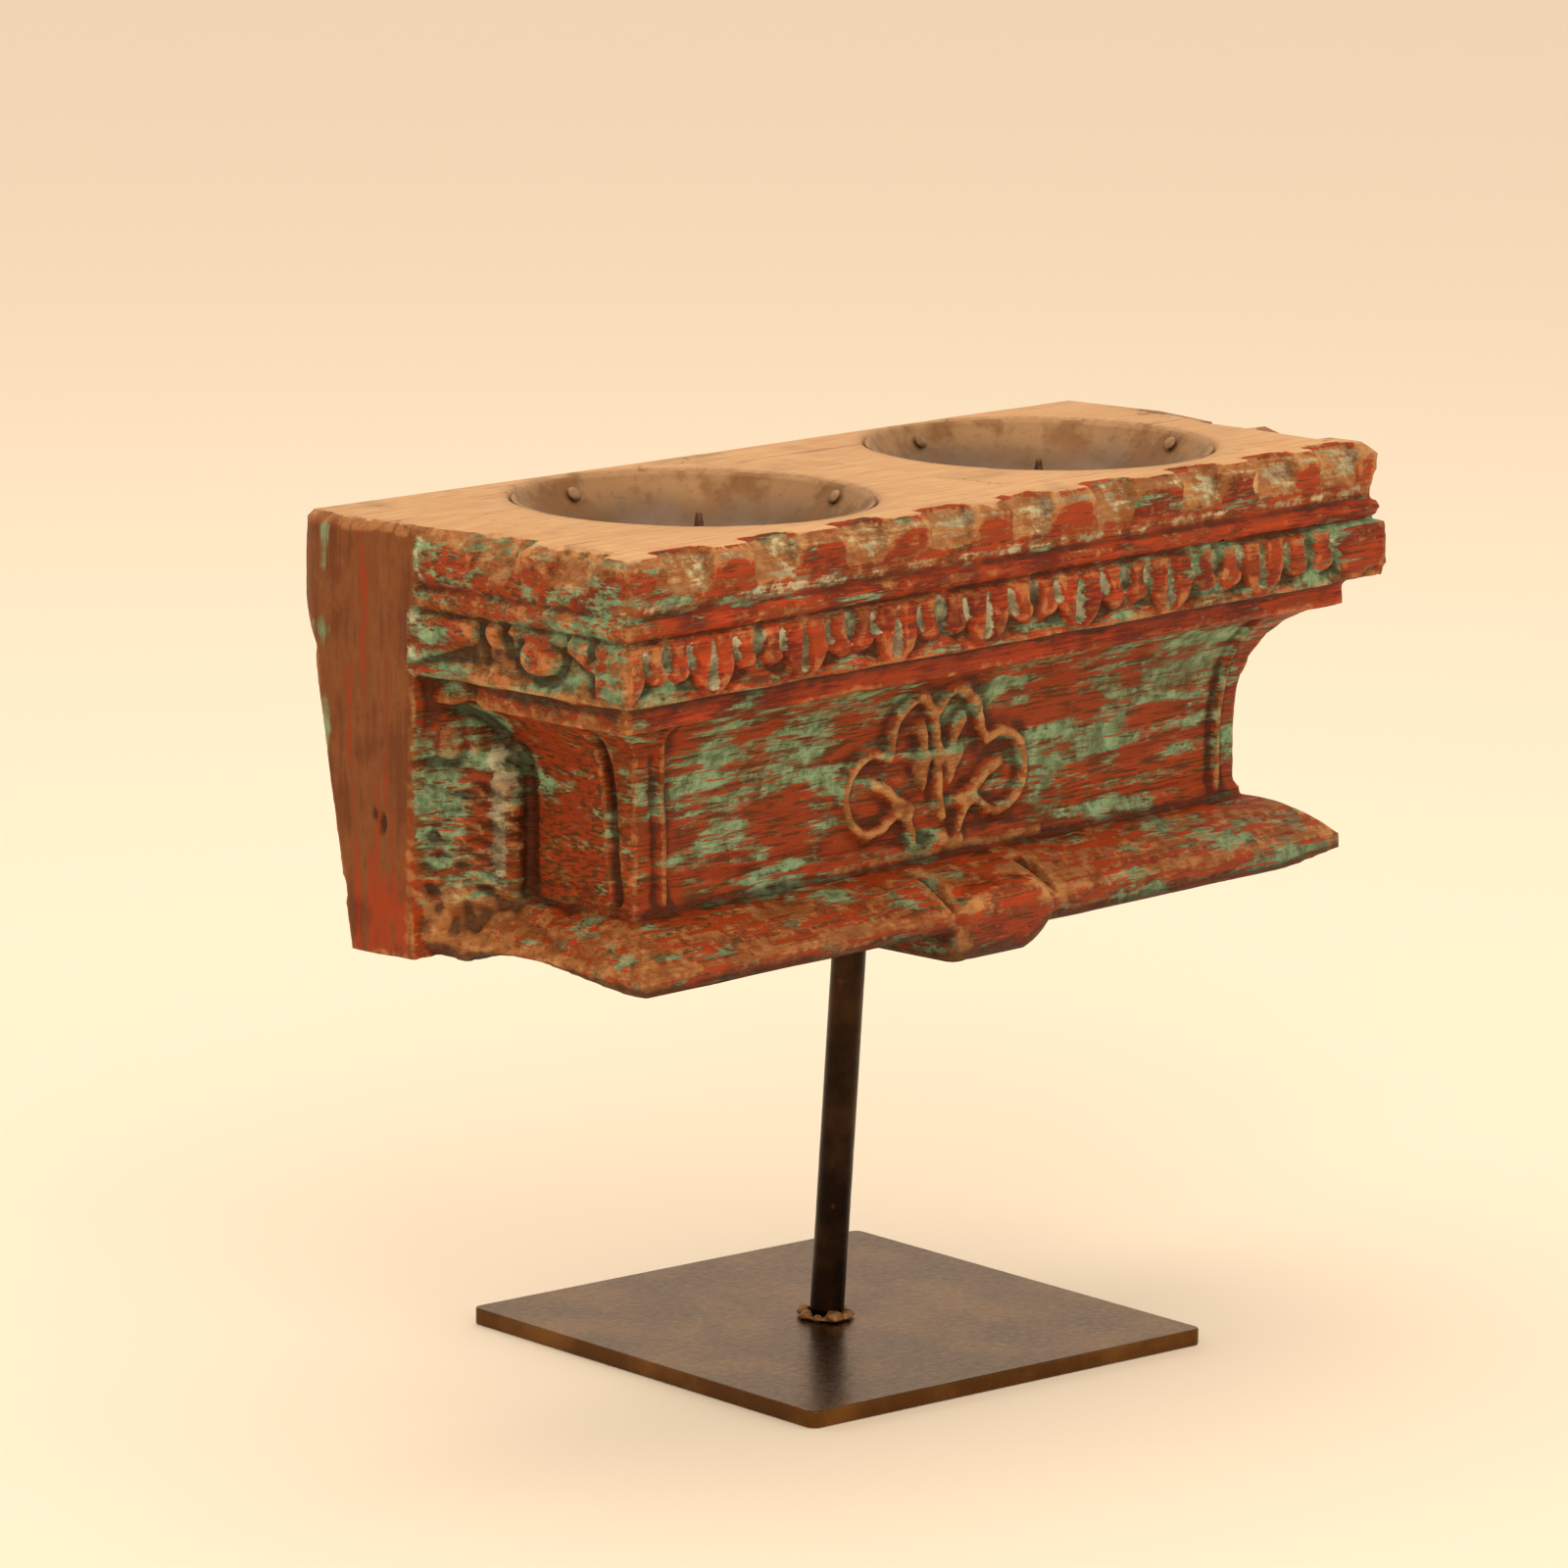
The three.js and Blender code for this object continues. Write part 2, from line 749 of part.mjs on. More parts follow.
// The bud that hangs in the middle of the lip, and the keel behind it under the block
function bud() {
  const half = budWidth / 2;
  const outline = new THREE.Shape();
  outline.moveTo(-1.1 * half, 1);
  outline.quadraticCurveTo(-0.9 * half, budTop - 1, -0.45 * half, budTop);
  outline.lineTo(0.45 * half, budTop + 0.5);
  outline.quadraticCurveTo(0.85 * half, budTop, half, 1);
  outline.quadraticCurveTo(0.78 * half, -0.7 * budDrop, 0.35 * half, -budDrop);
  outline.lineTo(-1.1 * half, -budDrop);
  const back = lipFrontReach + budFront - budKeel;
  return onFace(faces.front, rounded(outline, budKeel, budRound, 3).translate([0, 0, back]));
}

// The two vee cuts that part the bud from the lip
function budCuts() {
  const half = budWidth / 2;
  const cuts = [-1, 1].map((side) =>
    raised(
      faces.front,
      [
        [side * (half + 1.2), lipEdge - 2.2],
        [side * (half + 1.2 - 0.75 * veeWidth), lipRise + 1],
        [side * (half + 1.2 + 0.25 * veeWidth), lipRise + 1],
      ],
      0.35 * lipFrontReach,
      lipFrontReach + 4,
    ),
  );
  return joined(cuts);
}

// The lower hang of the lip right of the bud, dying away behind and at its right tip
function lipHang() {
  const face = faces.front;
  const tip = neckHalf + lipEndReach - 1;
  const inner = 2; // overlap with the lip above
  const profile = run(
    face,
    [
      [face.lip - 0.4, inner],
      [face.lip - 0.4, 1 - lipSag],
      [face.lip - 2, -lipSag],
      [0, -lipSag],
      [-0.6 * lipFrontReach, inner],
    ],
    0,
    tip,
  );
  const outline = [
    [budWidth / 4, inner],
    [budWidth / 4, -lipSag - 1],
    [tip - lipSagFade, -lipSag],
    [tip, 0],
    [tip, inner],
  ];
  return profile.intersect(raised(face, outline, -lipFrontReach, face.lip));
}

// The hollow under the lip's left end, as shares of its length and rise
function lipHollow() {
  const start = -plankFront + hollowStart;
  const shares = [
    [0.06, 0.45],
    [0.16, 0.8],
    [0.3, 1],
    [0.45, 0.96],
    [0.6, 0.7],
    [0.8, 0.3],
  ];
  const outline = shares.map(([t, rise]) => [start + hollowLength * t, hollowRise * rise]);
  return raised(
    faces.left,
    [[start, -2], ...outline, [start + hollowLength, 0], [start + hollowLength, -2]],
    -0.4 * lipEndReach,
    lipEndReach + 3,
  );
}

// A carved scroll across the corner between the neck's end and the plank
function sideScroll(face, ridges) {
  const side = face === faces.left ? -1 : 1;
  const plank = side * (plankFront + 2);
  const at = (forward) => side * (plankFront - forward);
  const outline = [
    [plank, scrollFoot],
    [at(scrollDepth), scrollFoot],
    [at(scrollDepth), 0.55 * scrollTop],
    [at(0.82 * scrollDepth), 0.8 * scrollTop],
    [at(0.3 * scrollDepth), scrollTop],
    [plank, scrollTop],
  ];
  const root = scrollRound + 2; // how deep the scroll is let into the neck's end
  const body = rounded(shapeOf(outline), scrollReach + root, scrollRound, 2).translate([0, 0, -root]);
  const curl = solid(new THREE.SphereGeometry(curlRadius, 12, 8)).scale([0.75, 1, 0.7]);
  const parts = [body, curl.translate([at(0.33 * scrollDepth), 0.86 * scrollTop, scrollReach - 1])];
  for (let i = 0; i < ridges; i += 1) {
    const ridge = solid(new THREE.SphereGeometry(1, 8, 6));
    const height = lipRise + 6 + i * ridgePitch;
    parts.push(
      ridge
        .scale([0.5 * scrollDepth, ridgeWidth / 2, ridgeWidth / 2])
        .rotate([0, 0, side * ridgeSlant])
        .translate([at(0.5 * scrollDepth), height, scrollReach - 1]),
    );
  }
  // lean its face out towards the plank
  const leaning = joined(parts).warp((point) => {
    const forward = (plankFront - side * point[0]) / scrollDepth;
    const out = THREE.MathUtils.clamp(point[2] / (scrollReach - scrollRound), 0, 1);
    point[2] += scrollSpread * (1 - forward) * out;
  });
  return onFace(face, leaning);
}

// A cap of a sphere round the bowl's own centre, closed by a flat or carried up to a height
function bowlCap(radius, top) {
  const rimRadius = Math.sqrt(radius ** 2 - (bowlSphere - bowlDepth) ** 2);
  const spread = Math.asin(rimRadius / radius);
  const profile = steps(bowlRings, (t) => {
    const turn = t * spread;
    return new THREE.Vector2(radius * Math.sin(turn), -radius * Math.cos(turn));
  });
  const rimLevel = bowlDepth - bowlSphere;
  if (top > rimLevel) profile.push(new THREE.Vector2(rimRadius, top));
  profile.push(new THREE.Vector2(0, Math.max(top, rimLevel)));
  profile[0].x = 0;
  return solid(new THREE.LatheGeometry(profile, bowlSides)).rotate([90, 0, 0]);
}

const bowlPlaces = [-1, 1].map((side) => [bowlMiddleX + (side * bowlSpacing) / 2, bowlY]);

// The hollow that a bowl lies in
function bowlRecess([x, y]) {
  const clear = bracketHeight + 2 - bowlCentreHeight;
  const cap = bowlCap(bowlSphere + bowlSheet + fitGap, clear);
  return cap.translate([x, y, bowlCentreHeight]);
}

// A nail's place in a bowl's own frame: on the inner wall, pointing out through it
function nailPlace(index) {
  const below = bowlSphere - bowlDepth + nailDrops[index];
  const outwards = Math.asin(below / bowlSphere);
  const turn = degrees(nailTurns[index]);
  const direction = new THREE.Vector3(
    Math.cos(outwards) * Math.cos(turn),
    Math.cos(outwards) * Math.sin(turn),
    -Math.sin(outwards),
  );
  const turned = new THREE.Quaternion().setFromUnitVectors(new THREE.Vector3(0, 1, 0), direction);
  return new THREE.Matrix4().compose(
    direction.clone().multiplyScalar(bowlSphere),
    turned,
    new THREE.Vector3(1, 1, 1),
  );
}

// A round pin along local +Y from the wall, with the head's dome inside the bowl
function nailProfile() {
  const shank = nailShankDiameter / 2;
  const head = nailHeadDiameter / 2;
  const seat = -fitGap - wallSag;
  return [
    [0, nailLength],
    [shank, nailLength - 2.5 * shank],
    [shank, seat],
    [head, seat],
    [0.72 * head, seat - 0.65 * nailHeadHeight],
    [0, seat - nailHeadHeight],
  ].reverse().map(([x, y]) => new THREE.Vector2(x, y));
}

function nailHole(index) {
  const radius = nailShankDiameter / 2 + fitGap;
  const from = -2;
  const to = nailLength + fitGap;
  const hole = solid(new THREE.CylinderGeometry(radius, radius, to - from, 8));
  return hole.translate([0, (from + to) / 2, 0]).transform(nailPlace(index).elements);
}

function nailHoles() {
  return joined(nailTurns.map((turn, i) => nailHole(i)));
}

// The post's axis, leaning from its foot
const postDirection = new THREE.Vector3(0, 0, 1)
  .applyAxisAngle(new THREE.Vector3(0, 1, 0), degrees(postLean))
  .applyAxisAngle(up, degrees(postHeading));
const postFoot = new THREE.Vector3(postFootX, postFootY, plateThickness);
const postLength = (undersideHeight + socketDepth - plateThickness) / postDirection.z;

// A round bar on the post's axis, between two distances from its foot
function postBar(radius, from, to) {
  const leaning = new THREE.Quaternion().setFromUnitVectors(
    new THREE.Vector3(0, 1, 0),
    postDirection,
  );
  const place = new THREE.Matrix4().compose(postFoot, leaning, new THREE.Vector3(1, 1, 1));
  const bar = solid(new THREE.CylinderGeometry(radius, radius, to - from, 24));
  return bar.translate([0, (from + to) / 2, 0]).transform(place.elements);
}

// Everything below the plate's top and its gap, to cut what stands on the plate
function belowPlateTop() {
  const box = solid(new THREE.BoxGeometry(plateSide, plateSide, 20));
  return box.translate([0, 0, plateThickness + fitGap - 10]);
}

// The carved bracket in its own frame, with the post's socket cut along the leaning axis
function bracketSolid() {
  const socket = postBar(postDiameter / 2 + fitGap, 0.5 * postLength, postLength + fitGap).translate([
    -bracketMiddleX,
    -neckFaceY,
    -undersideHeight,
  ]);
  const lipWithCuts = mouldedBlock().subtract(budCuts());
  const recesses = bowlPlaces.map((place) => bowlRecess(place));
  const holes = bowlPlaces.map(([x, y]) => nailHoles().translate([x, y, bowlCentreHeight]));
  return joined([
    lipWithCuts,
    backPlank(),
    leafBand(),
    bandCorners(),
    palmette(),
    panelBeads(),
    lipHang(),
    bud(),
    sideScroll(faces.left, ridgeCount),
    sideScroll(faces.right, 0),
  ])
    .subtract(allNotches())
    .subtract(endGrooves())
    .subtract(lipHollow())
    .subtract(joined(recesses))
    .subtract(joined(holes))
    .subtract(socket);
}

function bowlSolid() {
  const flat = bowlDepth - bowlSphere;
  const outer = bowlCap(bowlSphere + bowlSheet, flat);
  const clear = flat + bowlSheet;
  return outer.subtract(bowlCap(bowlSphere, clear)).subtract(nailHoles());
}

// A pointed spike with a small round foot on the bowl's floor, set off the bowl's middle
function spikeGeometry(offMiddle) {
  const foot = spikeFootDiameter / 2;
  const pin = spikeDiameter / 2;
  const tip = bowlDepth - spikeClearance;
  const base = fitGap + bowlSphere - Math.sqrt(bowlSphere ** 2 - foot ** 2);
  const profile = [
    [0, base],
    [foot, base],
    [foot, base + spikeFootThickness],
    [pin, base + spikeFootThickness + 0.4],
    [0.9 * pin, 0.78 * tip],
    [0, tip],
  ].map(([x, y]) => new THREE.Vector2(x, y));
  const geometry = new THREE.LatheGeometry(profile, 12);
  geometry.rotateX(Math.PI / 2);
  geometry.translate(0, 0, -bowlSphere);
  geometry.rotateY(-degrees(offMiddle));
  return geometry;
}

function postSolid() {
  return postBar(postDiameter / 2, -2, postLength).subtract(belowPlateTop());
}

// A ring of weld round the post's foot with uneven lumps in it
function weldSolid() {
  const reach = postDiameter / 2 + 0.32 * weldWidth;
  const ring = solid(new THREE.TorusGeometry(reach, 0.36 * weldWidth, 6, 18));
  const lumps = [ring.translate([postFootX, postFootY, plateThickness])];
  for (let i = 0; i < weldLumps; i += 1) {
    const turn = (i / weldLumps) * 2 * Math.PI;
    const size = (weldWidth / 2) * (1 + 0.22 * Math.sin(2.3 * i));
    const lump = solid(new THREE.IcosahedronGeometry(1.3 * size, 0));
    lumps.push(
      lump.translate([
        postFootX + reach * Math.cos(turn),
        postFootY + reach * Math.sin(turn),
        plateThickness + 0.35 * size,
      ]),
    );
  }
  const bar = postBar(postDiameter / 2 + fitGap, -4, 30);
  return joined(lumps).subtract(bar).subtract(belowPlateTop());
}

function plateGeometry() {
  const half = plateSide / 2 - plateArris;
  const corner = plateCorner;
  const outline = new THREE.Shape();
  outline.moveTo(half, -half + corner);
  outline.lineTo(half, half - corner);
  outline.absarc(half - corner, half - corner, corner, 0, 0.5 * Math.PI);
  outline.absarc(-half + corner, half - corner, corner, 0.5 * Math.PI, Math.PI);
  outline.absarc(-half + corner, -half + corner, corner, Math.PI, 1.5 * Math.PI);
  outline.absarc(half - corner, -half + corner, corner, 1.5 * Math.PI, 2 * Math.PI);
  const geometry = new THREE.ExtrudeGeometry(outline, {
    depth: plateThickness - 2 * plateArris,
    bevelEnabled: true,
    bevelThickness: plateArris,
    bevelSize: plateArris,
    bevelSegments: 1,
    curveSegments: 4,
  });
  geometry.translate(0, 0, plateArris);
  return geometry;
}

function finish(color, roughness, metalness) {
  return new THREE.MeshStandardMaterial({ color, roughness, metalness, flatShading: true });
}

function piece(name, geometry, material) {
  const mesh = new THREE.Mesh(geometry, material);
  mesh.name = name;
  return mesh;
}

const stand = new THREE.Group();
const plate = piece("base_plate", plateGeometry(), finish(0x2b2724, 0.42, 0.85));
plate.rotation.z = degrees(plateTurn);
stand.add(plate);
stand.add(piece("post", geometryOf(postSolid()), finish(0x1d1b1b, 0.45, 0.85)));
stand.add(piece("weld_bead", geometryOf(weldSolid()), finish(0x4a3428, 0.75, 0.5)));

const carved = new THREE.Group();
carved.position.set(bracketMiddleX, neckFaceY, undersideHeight);
carved.add(piece("bracket", geometryOf(bracketSolid()), finish(0x9a4a30, 0.7, 0)));

for (const [side, [x, y], spikeTurn] of [
  ["left", bowlPlaces[0], leftSpikeTurn],
  ["right", bowlPlaces[1], 0],
]) {
  const bowl = new THREE.Group();
  bowl.position.set(x, y, bowlCentreHeight);
  bowl.add(piece(`bowl_${side}`, geometryOf(bowlSolid()), finish(0x7c6a58, 0.5, 0.6)));
  bowl.add(piece(`spike_${side}`, spikeGeometry(spikeTurn), finish(0x2c2622, 0.5, 0.8)));
  for (let i = 0; i < nailTurns.length; i += 1) {
    const geometry = new THREE.LatheGeometry(nailProfile(), 8);
    geometry.applyMatrix4(nailPlace(i));
    bowl.add(piece(`nail_${side}_${i + 1}`, geometry, finish(0x5d5148, 0.5, 0.8)));
  }
  carved.add(bowl);
}

const candleBracket = new THREE.Group();
candleBracket.add(stand, carved);

export default candleBracket;
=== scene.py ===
import math

import bmesh
import bpy
import numpy as np
from mathutils import Matrix, Vector


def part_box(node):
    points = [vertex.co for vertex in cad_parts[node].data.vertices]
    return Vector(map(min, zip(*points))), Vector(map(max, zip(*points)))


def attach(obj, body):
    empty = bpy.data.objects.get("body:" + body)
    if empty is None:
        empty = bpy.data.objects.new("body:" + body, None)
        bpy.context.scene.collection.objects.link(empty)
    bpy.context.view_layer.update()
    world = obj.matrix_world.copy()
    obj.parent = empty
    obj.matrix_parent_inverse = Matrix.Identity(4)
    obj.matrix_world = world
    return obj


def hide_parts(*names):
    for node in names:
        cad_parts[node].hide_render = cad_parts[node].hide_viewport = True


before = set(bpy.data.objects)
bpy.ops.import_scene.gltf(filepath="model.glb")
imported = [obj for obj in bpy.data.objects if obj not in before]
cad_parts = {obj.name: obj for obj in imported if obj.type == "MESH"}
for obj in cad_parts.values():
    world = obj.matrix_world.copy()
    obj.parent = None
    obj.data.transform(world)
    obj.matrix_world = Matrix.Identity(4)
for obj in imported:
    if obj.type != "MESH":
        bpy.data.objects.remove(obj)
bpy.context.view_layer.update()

print("frame loaded")

# the block's own frame, in mm, starts here: its middle, the neck's front face, its underside
blockPlace = np.array((2.2, -37.0, 131.0))
neckHalf = 128.9
crownHalf = 161.0
crownFront = 27.1
plankFront = 54.0
blockHeight = 120.5


# small helpers
def smooth(value, low, high):
    share = np.clip((value - low) / (high - low), 0, 1)
    return share * share * (3 - 2 * share)


def bump(value, middle, half):
    return np.clip(1 - np.abs((value - middle) / half), 0, 1) ** 1.5


def bell(value, middle, half, power=2):
    return np.exp(-((value - middle) / half) ** power)


def spot(across, up, place, size):
    return np.exp(-((across - place[0]) / size[0]) ** 2 - ((up - place[1]) / size[1]) ** 2)


def between(value, low, high):
    return (value > low) & (value < high)


def cellNoise(points, size, seed, stretch=(1, 1, 1)):
    grid = np.random.default_rng(seed).random((32, 32, 32)) * 2 - 1
    place = points / (size * np.array(stretch)) + seed * 7.31
    base = np.floor(place).astype(int)
    part = place - base
    part = part * part * (3 - 2 * part)
    total = np.zeros(len(points))
    for i, j, k in np.ndindex(2, 2, 2):
        weight = np.abs(1 - i - part[:, 0]) * np.abs(1 - j - part[:, 1]) * np.abs(1 - k - part[:, 2])
        total += weight * grid[(base[:, 0] + i) % 32, (base[:, 1] + j) % 32, (base[:, 2] + k) % 32]
    return total


def layeredNoise(points, size, seed, stretch=(1, 1, 1), layers=3):
    total, share = 0, 1
    for layer in range(layers):
        total = total + share * cellNoise(points, size / 2 ** layer, seed + layer, stretch)
        share *= 0.5
    return total


def readPoints(mesh):
    flat = np.empty(len(mesh.vertices) * 3, np.float32)
    mesh.vertices.foreach_get("co", flat)
    return flat.reshape(-1, 3).astype(float) * 1000 - blockPlace


def writePoints(mesh, points):
    mesh.vertices.foreach_set("co", ((points + blockPlace) / 1000).astype(np.float32).ravel())
    mesh.update()


def insideBox(points, box, margin):
    low, high = (np.array(corner) * 1000 - blockPlace for corner in box)
    return np.clip(points, low + margin, high - margin)


def normalsOf(mesh):
    flat = np.empty(len(mesh.vertices) * 3, np.float32)
    mesh.vertex_normals.foreach_get("vector", flat)
    return flat.reshape(-1, 3).astype(float)


def edgesOf(mesh):
    flat = np.empty(len(mesh.edges) * 2, np.int32)
    mesh.edges.foreach_get("vertices", flat)
    return flat.reshape(-1, 2)


def neighbourMean(values, edges):
    count = np.bincount(edges.ravel(), minlength=len(values)).astype(float)
    count[count == 0] = 1
    columns = values.reshape(len(values), -1)
    total = np.stack([
        np.bincount(edges[:, 0], columns[edges[:, 1], i], len(values))
        + np.bincount(edges[:, 1], columns[edges[:, 0], i], len(values))
        for i in range(columns.shape[1])
    ], axis=1)
    return (total / count[:, None]).reshape(values.shape)


def relaxed(values, edges, times, share=0.5):
    for _ in range(times):
        values = values + share * (neighbourMean(values, edges) - values)
    return values


def bendOf(points, normals, edges):
    # how far each point lies under its neighbours: above 0 in a hollow, below 0 on a ridge
    return np.einsum("ij,ij->i", neighbourMean(points, edges) - points, normals)


def newObject(name, mesh):
    made = bpy.data.objects.new(name, mesh)
    bpy.context.collection.objects.link(made)
    return made


def fromBmesh(name, shape):
    mesh = bpy.data.meshes.new(name)
    bmesh.ops.recalc_face_normals(shape, faces=shape.faces)
    shape.to_mesh(mesh)
    shape.free()
    return newObject(name, mesh)


def mergedCopy(name, node):
    holder = newObject(name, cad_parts[node].data.copy())
    shape = bmesh.new()
    shape.from_mesh(holder.data)
    bmesh.ops.remove_doubles(shape, verts=shape.verts, dist=1e-6)
    shape.to_mesh(holder.data)
    shape.free()
    return holder


def spun(profile, steps, x=0.0, y=0.0):
    # a turned shape round an upright axis, from radii and heights in mm
    shape = bmesh.new()
    verts = [shape.verts.new(((x + radius) / 1000, y / 1000, height / 1000)) for radius, height in profile]
    line = [shape.edges.new(pair) for pair in zip(verts, verts[1:])]
    bmesh.ops.spin(shape, geom=verts + line, cent=(x / 1000, y / 1000, 0), axis=(0, 0, 1),
                   angle=2 * math.pi, steps=steps, use_merge=True)
    bmesh.ops.remove_doubles(shape, verts=shape.verts, dist=1e-6)
    return shape


def applied(holder):
    depsgraph = bpy.context.evaluated_depsgraph_get()
    mesh = bpy.data.meshes.new_from_object(holder.evaluated_get(depsgraph))
    holder.modifiers.clear()
    old = holder.data
    holder.data = mesh
    bpy.data.meshes.remove(old)


def remeshed(holder, size):
    tool = holder.modifiers.new("remesh", "REMESH")
    tool.mode = "VOXEL"
    tool.voxel_size = size / 1000
    applied(holder)


def setAttribute(mesh, name, values):
    made = mesh.attributes.new(name, "FLOAT", "POINT")
    made.data.foreach_set("value", values.astype(np.float32))


# node helpers
def tone(red, green, blue):
    def linear(value):
        share = value / 255
        return share / 12.92 if share <= 0.04045 else ((share + 0.055) / 1.055) ** 2.4
    return (linear(red), linear(green), linear(blue), 1)


class Finish:
    # a material and the nodes that make it up
    def __init__(self, name):
        self.material = bpy.data.materials.new(name)
        self.material.use_nodes = True
        self.tree = self.material.node_tree
        self.where = self.add("ShaderNodeTexCoord").outputs["Object"]

    def plug(self, socket, value):
        if isinstance(value, bpy.types.NodeSocket):
            self.tree.links.new(value, socket)
        else:
            socket.default_value = value

    def add(self, kind, inputs=(), **settings):
        made = self.tree.nodes.new(kind)
        for key, value in settings.items():
            setattr(made, key, value)
        for socket, value in dict(inputs).items():
            self.plug(made.inputs[socket], value)
        return made

    def give(self, **values):
        # the shader's own sockets, named without spaces
        for socket in self.tree.nodes["Principled BSDF"].inputs:
            if socket.name.replace(" ", "") in values:
                self.plug(socket, values[socket.name.replace(" ", "")])

    def noise(self, scale, detail=5, roughness=0.6):
        place = self.where
        if isinstance(scale, tuple):
            place = self.add("ShaderNodeMapping", {"Vector": place, "Scale": scale}).outputs["Vector"]
            scale = 1.0
        return self.add("ShaderNodeTexNoise", {"Vector": place, "Scale": scale, "Detail": detail,
                                               "Roughness": roughness}).outputs["Fac"]

    def attribute(self, name):
        return self.add("ShaderNodeAttribute", attribute_name=name).outputs["Fac"]

    def maths(self, operation, first, second=0.0):
        return self.add("ShaderNodeMath", {0: first, 1: second}, operation=operation).outputs[0]

    def step(self, value, low, high):
        return self.add("ShaderNodeMapRange", {0: value, 1: low, 2: high},
                        interpolation_type="SMOOTHSTEP").outputs[0]

    def spread(self, value, *shares):
        # a value made uneven by noises, each with its share
        for noise, share in shares:
            uneven = self.maths("MULTIPLY", self.maths("SUBTRACT", noise, 0.5), share)
            value = self.maths("ADD", value, uneven)
        return value

    def either(self, share, first, second):
        return self.add("ShaderNodeMix", {0: share, 2: first, 3: second}, data_type="FLOAT").outputs[0]

    def mix(self, share, first, second):
        return self.add("ShaderNodeMix", {0: share, 6: first, 7: second}, data_type="RGBA").outputs[2]

    def twoTone(self, share, tones):
        return self.mix(share, tone(*tones[0]), tone(*tones[1]))

    def over(self, colour, share, strength, top):
        return self.mix(self.maths("MULTIPLY", share, strength), colour, top)

    def relief(self, height, strength, distance):
        made = self.add("ShaderNodeBump", {"Height": height, "Strength": strength, "Distance": distance})
        self.give(Normal=made.outputs["Normal"])


def finished(holder, node, material):
    holder.data.materials.clear()
    holder.data.materials.append(material)
    holder.data.polygons.foreach_set("use_smooth", [True] * len(holder.data.polygons))
    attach(holder, "root")
    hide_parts(node)


# sizes of the sheet-metal bowls
bowl = {
    "radius": 50.0,
    "depth": 27.0,
    "sheet": 1.0,
    "places": {"left": (-62.0, 2.5), "right": (86.0, 2.5)},
    "rim": 251.0,
    "rings": 40,
    "sides": 128,
    "dents": 0.35,
}
bowlSphere = (bowl["radius"] ** 2 + bowl["depth"] ** 2) / (2 * bowl["depth"])
bowlCentre = bowl["rim"] + bowlSphere - bowl["depth"]

# carved wooden block
wood = {
    "voxel": 0.75,
    "faces": 196000,
    "bowlGap": 0.7,
    "bandTop": 97.8,
    "bandHeight": 17.3,
    "bandBlanks": (  # corners in plan of the strips for the leaves
        ((-162.0, -28.6), (162.2, -19.0)),
        ((-163.6, -28.6), (-153.0, 54.5)),
        ((153.0, -28.6), (163.0, 54.5)),
    ),
    "firstMiddle": -162.4,
    "firstPitch": 35.7,
    "pitchGrowth": 0.94,
    "rightPlain": 144.0,  # the front band has no slots past this
    "endLeaves": ((-34.8, 37.0), (2.2, 37.0)),  # middles and pitches on the right end
    "notchStart": -144.2,
    "notchPitch": 35.4,
    "notchWidth": 16.5,
    "notchDrift": (0, -0.6, 0.5, 0.7, -0.7, 0, 3.5, 1.8, -4.7),
    "palmetteMiddle": -6.5,
    "palmetteHalf": 46,
    "checks": (  # place, half size and depth of the checks and holes in the plank's left end
        ((65.5, 37.1), (0.9, 3.0), 2.4),
        ((68.6, 39.5), (0.8, 1.8), 1.8),
        ((53.4, 55.2), (1.6, 1.1), 1.8),
        ((52.4, 34.7), (0.8, 1.8), 1.8),
        ((50.5, 28.6), (1.9, 1.3), 1.8),
    ),
}
bandBottom = wood["bandTop"] - wood["bandHeight"]


def fillBand(holder):
    # strips fill the leaf band, to be carved again
    shape = bmesh.new()
    shape.from_mesh(holder.data)
    for low, high in wood["bandBlanks"]:
        size = np.array((high[0] - low[0], high[1] - low[1], wood["bandHeight"])) / 1000
        middle = ((low[0] + high[0]) / 2, (low[1] + high[1]) / 2, bandBottom + wood["bandHeight"] / 2)
        place = Matrix.Translation((np.array(middle) + blockPlace) / 1000)
        bmesh.ops.create_cube(shape, size=1, matrix=place @ Matrix.Diagonal((*size, 1)))
    shape.to_mesh(holder.data)
    shape.free()


def leafUnits():
    units, middle, pitch = [], wood["firstMiddle"], wood["firstPitch"]
    while middle < crownHalf:
        units.append((middle, pitch))
        middle += pitch
        pitch += wood["pitchGrowth"]
    return units


def notchStarts():
    return wood["notchStart"] + wood["notchPitch"] * np.arange(9) + np.array(wood["notchDrift"])


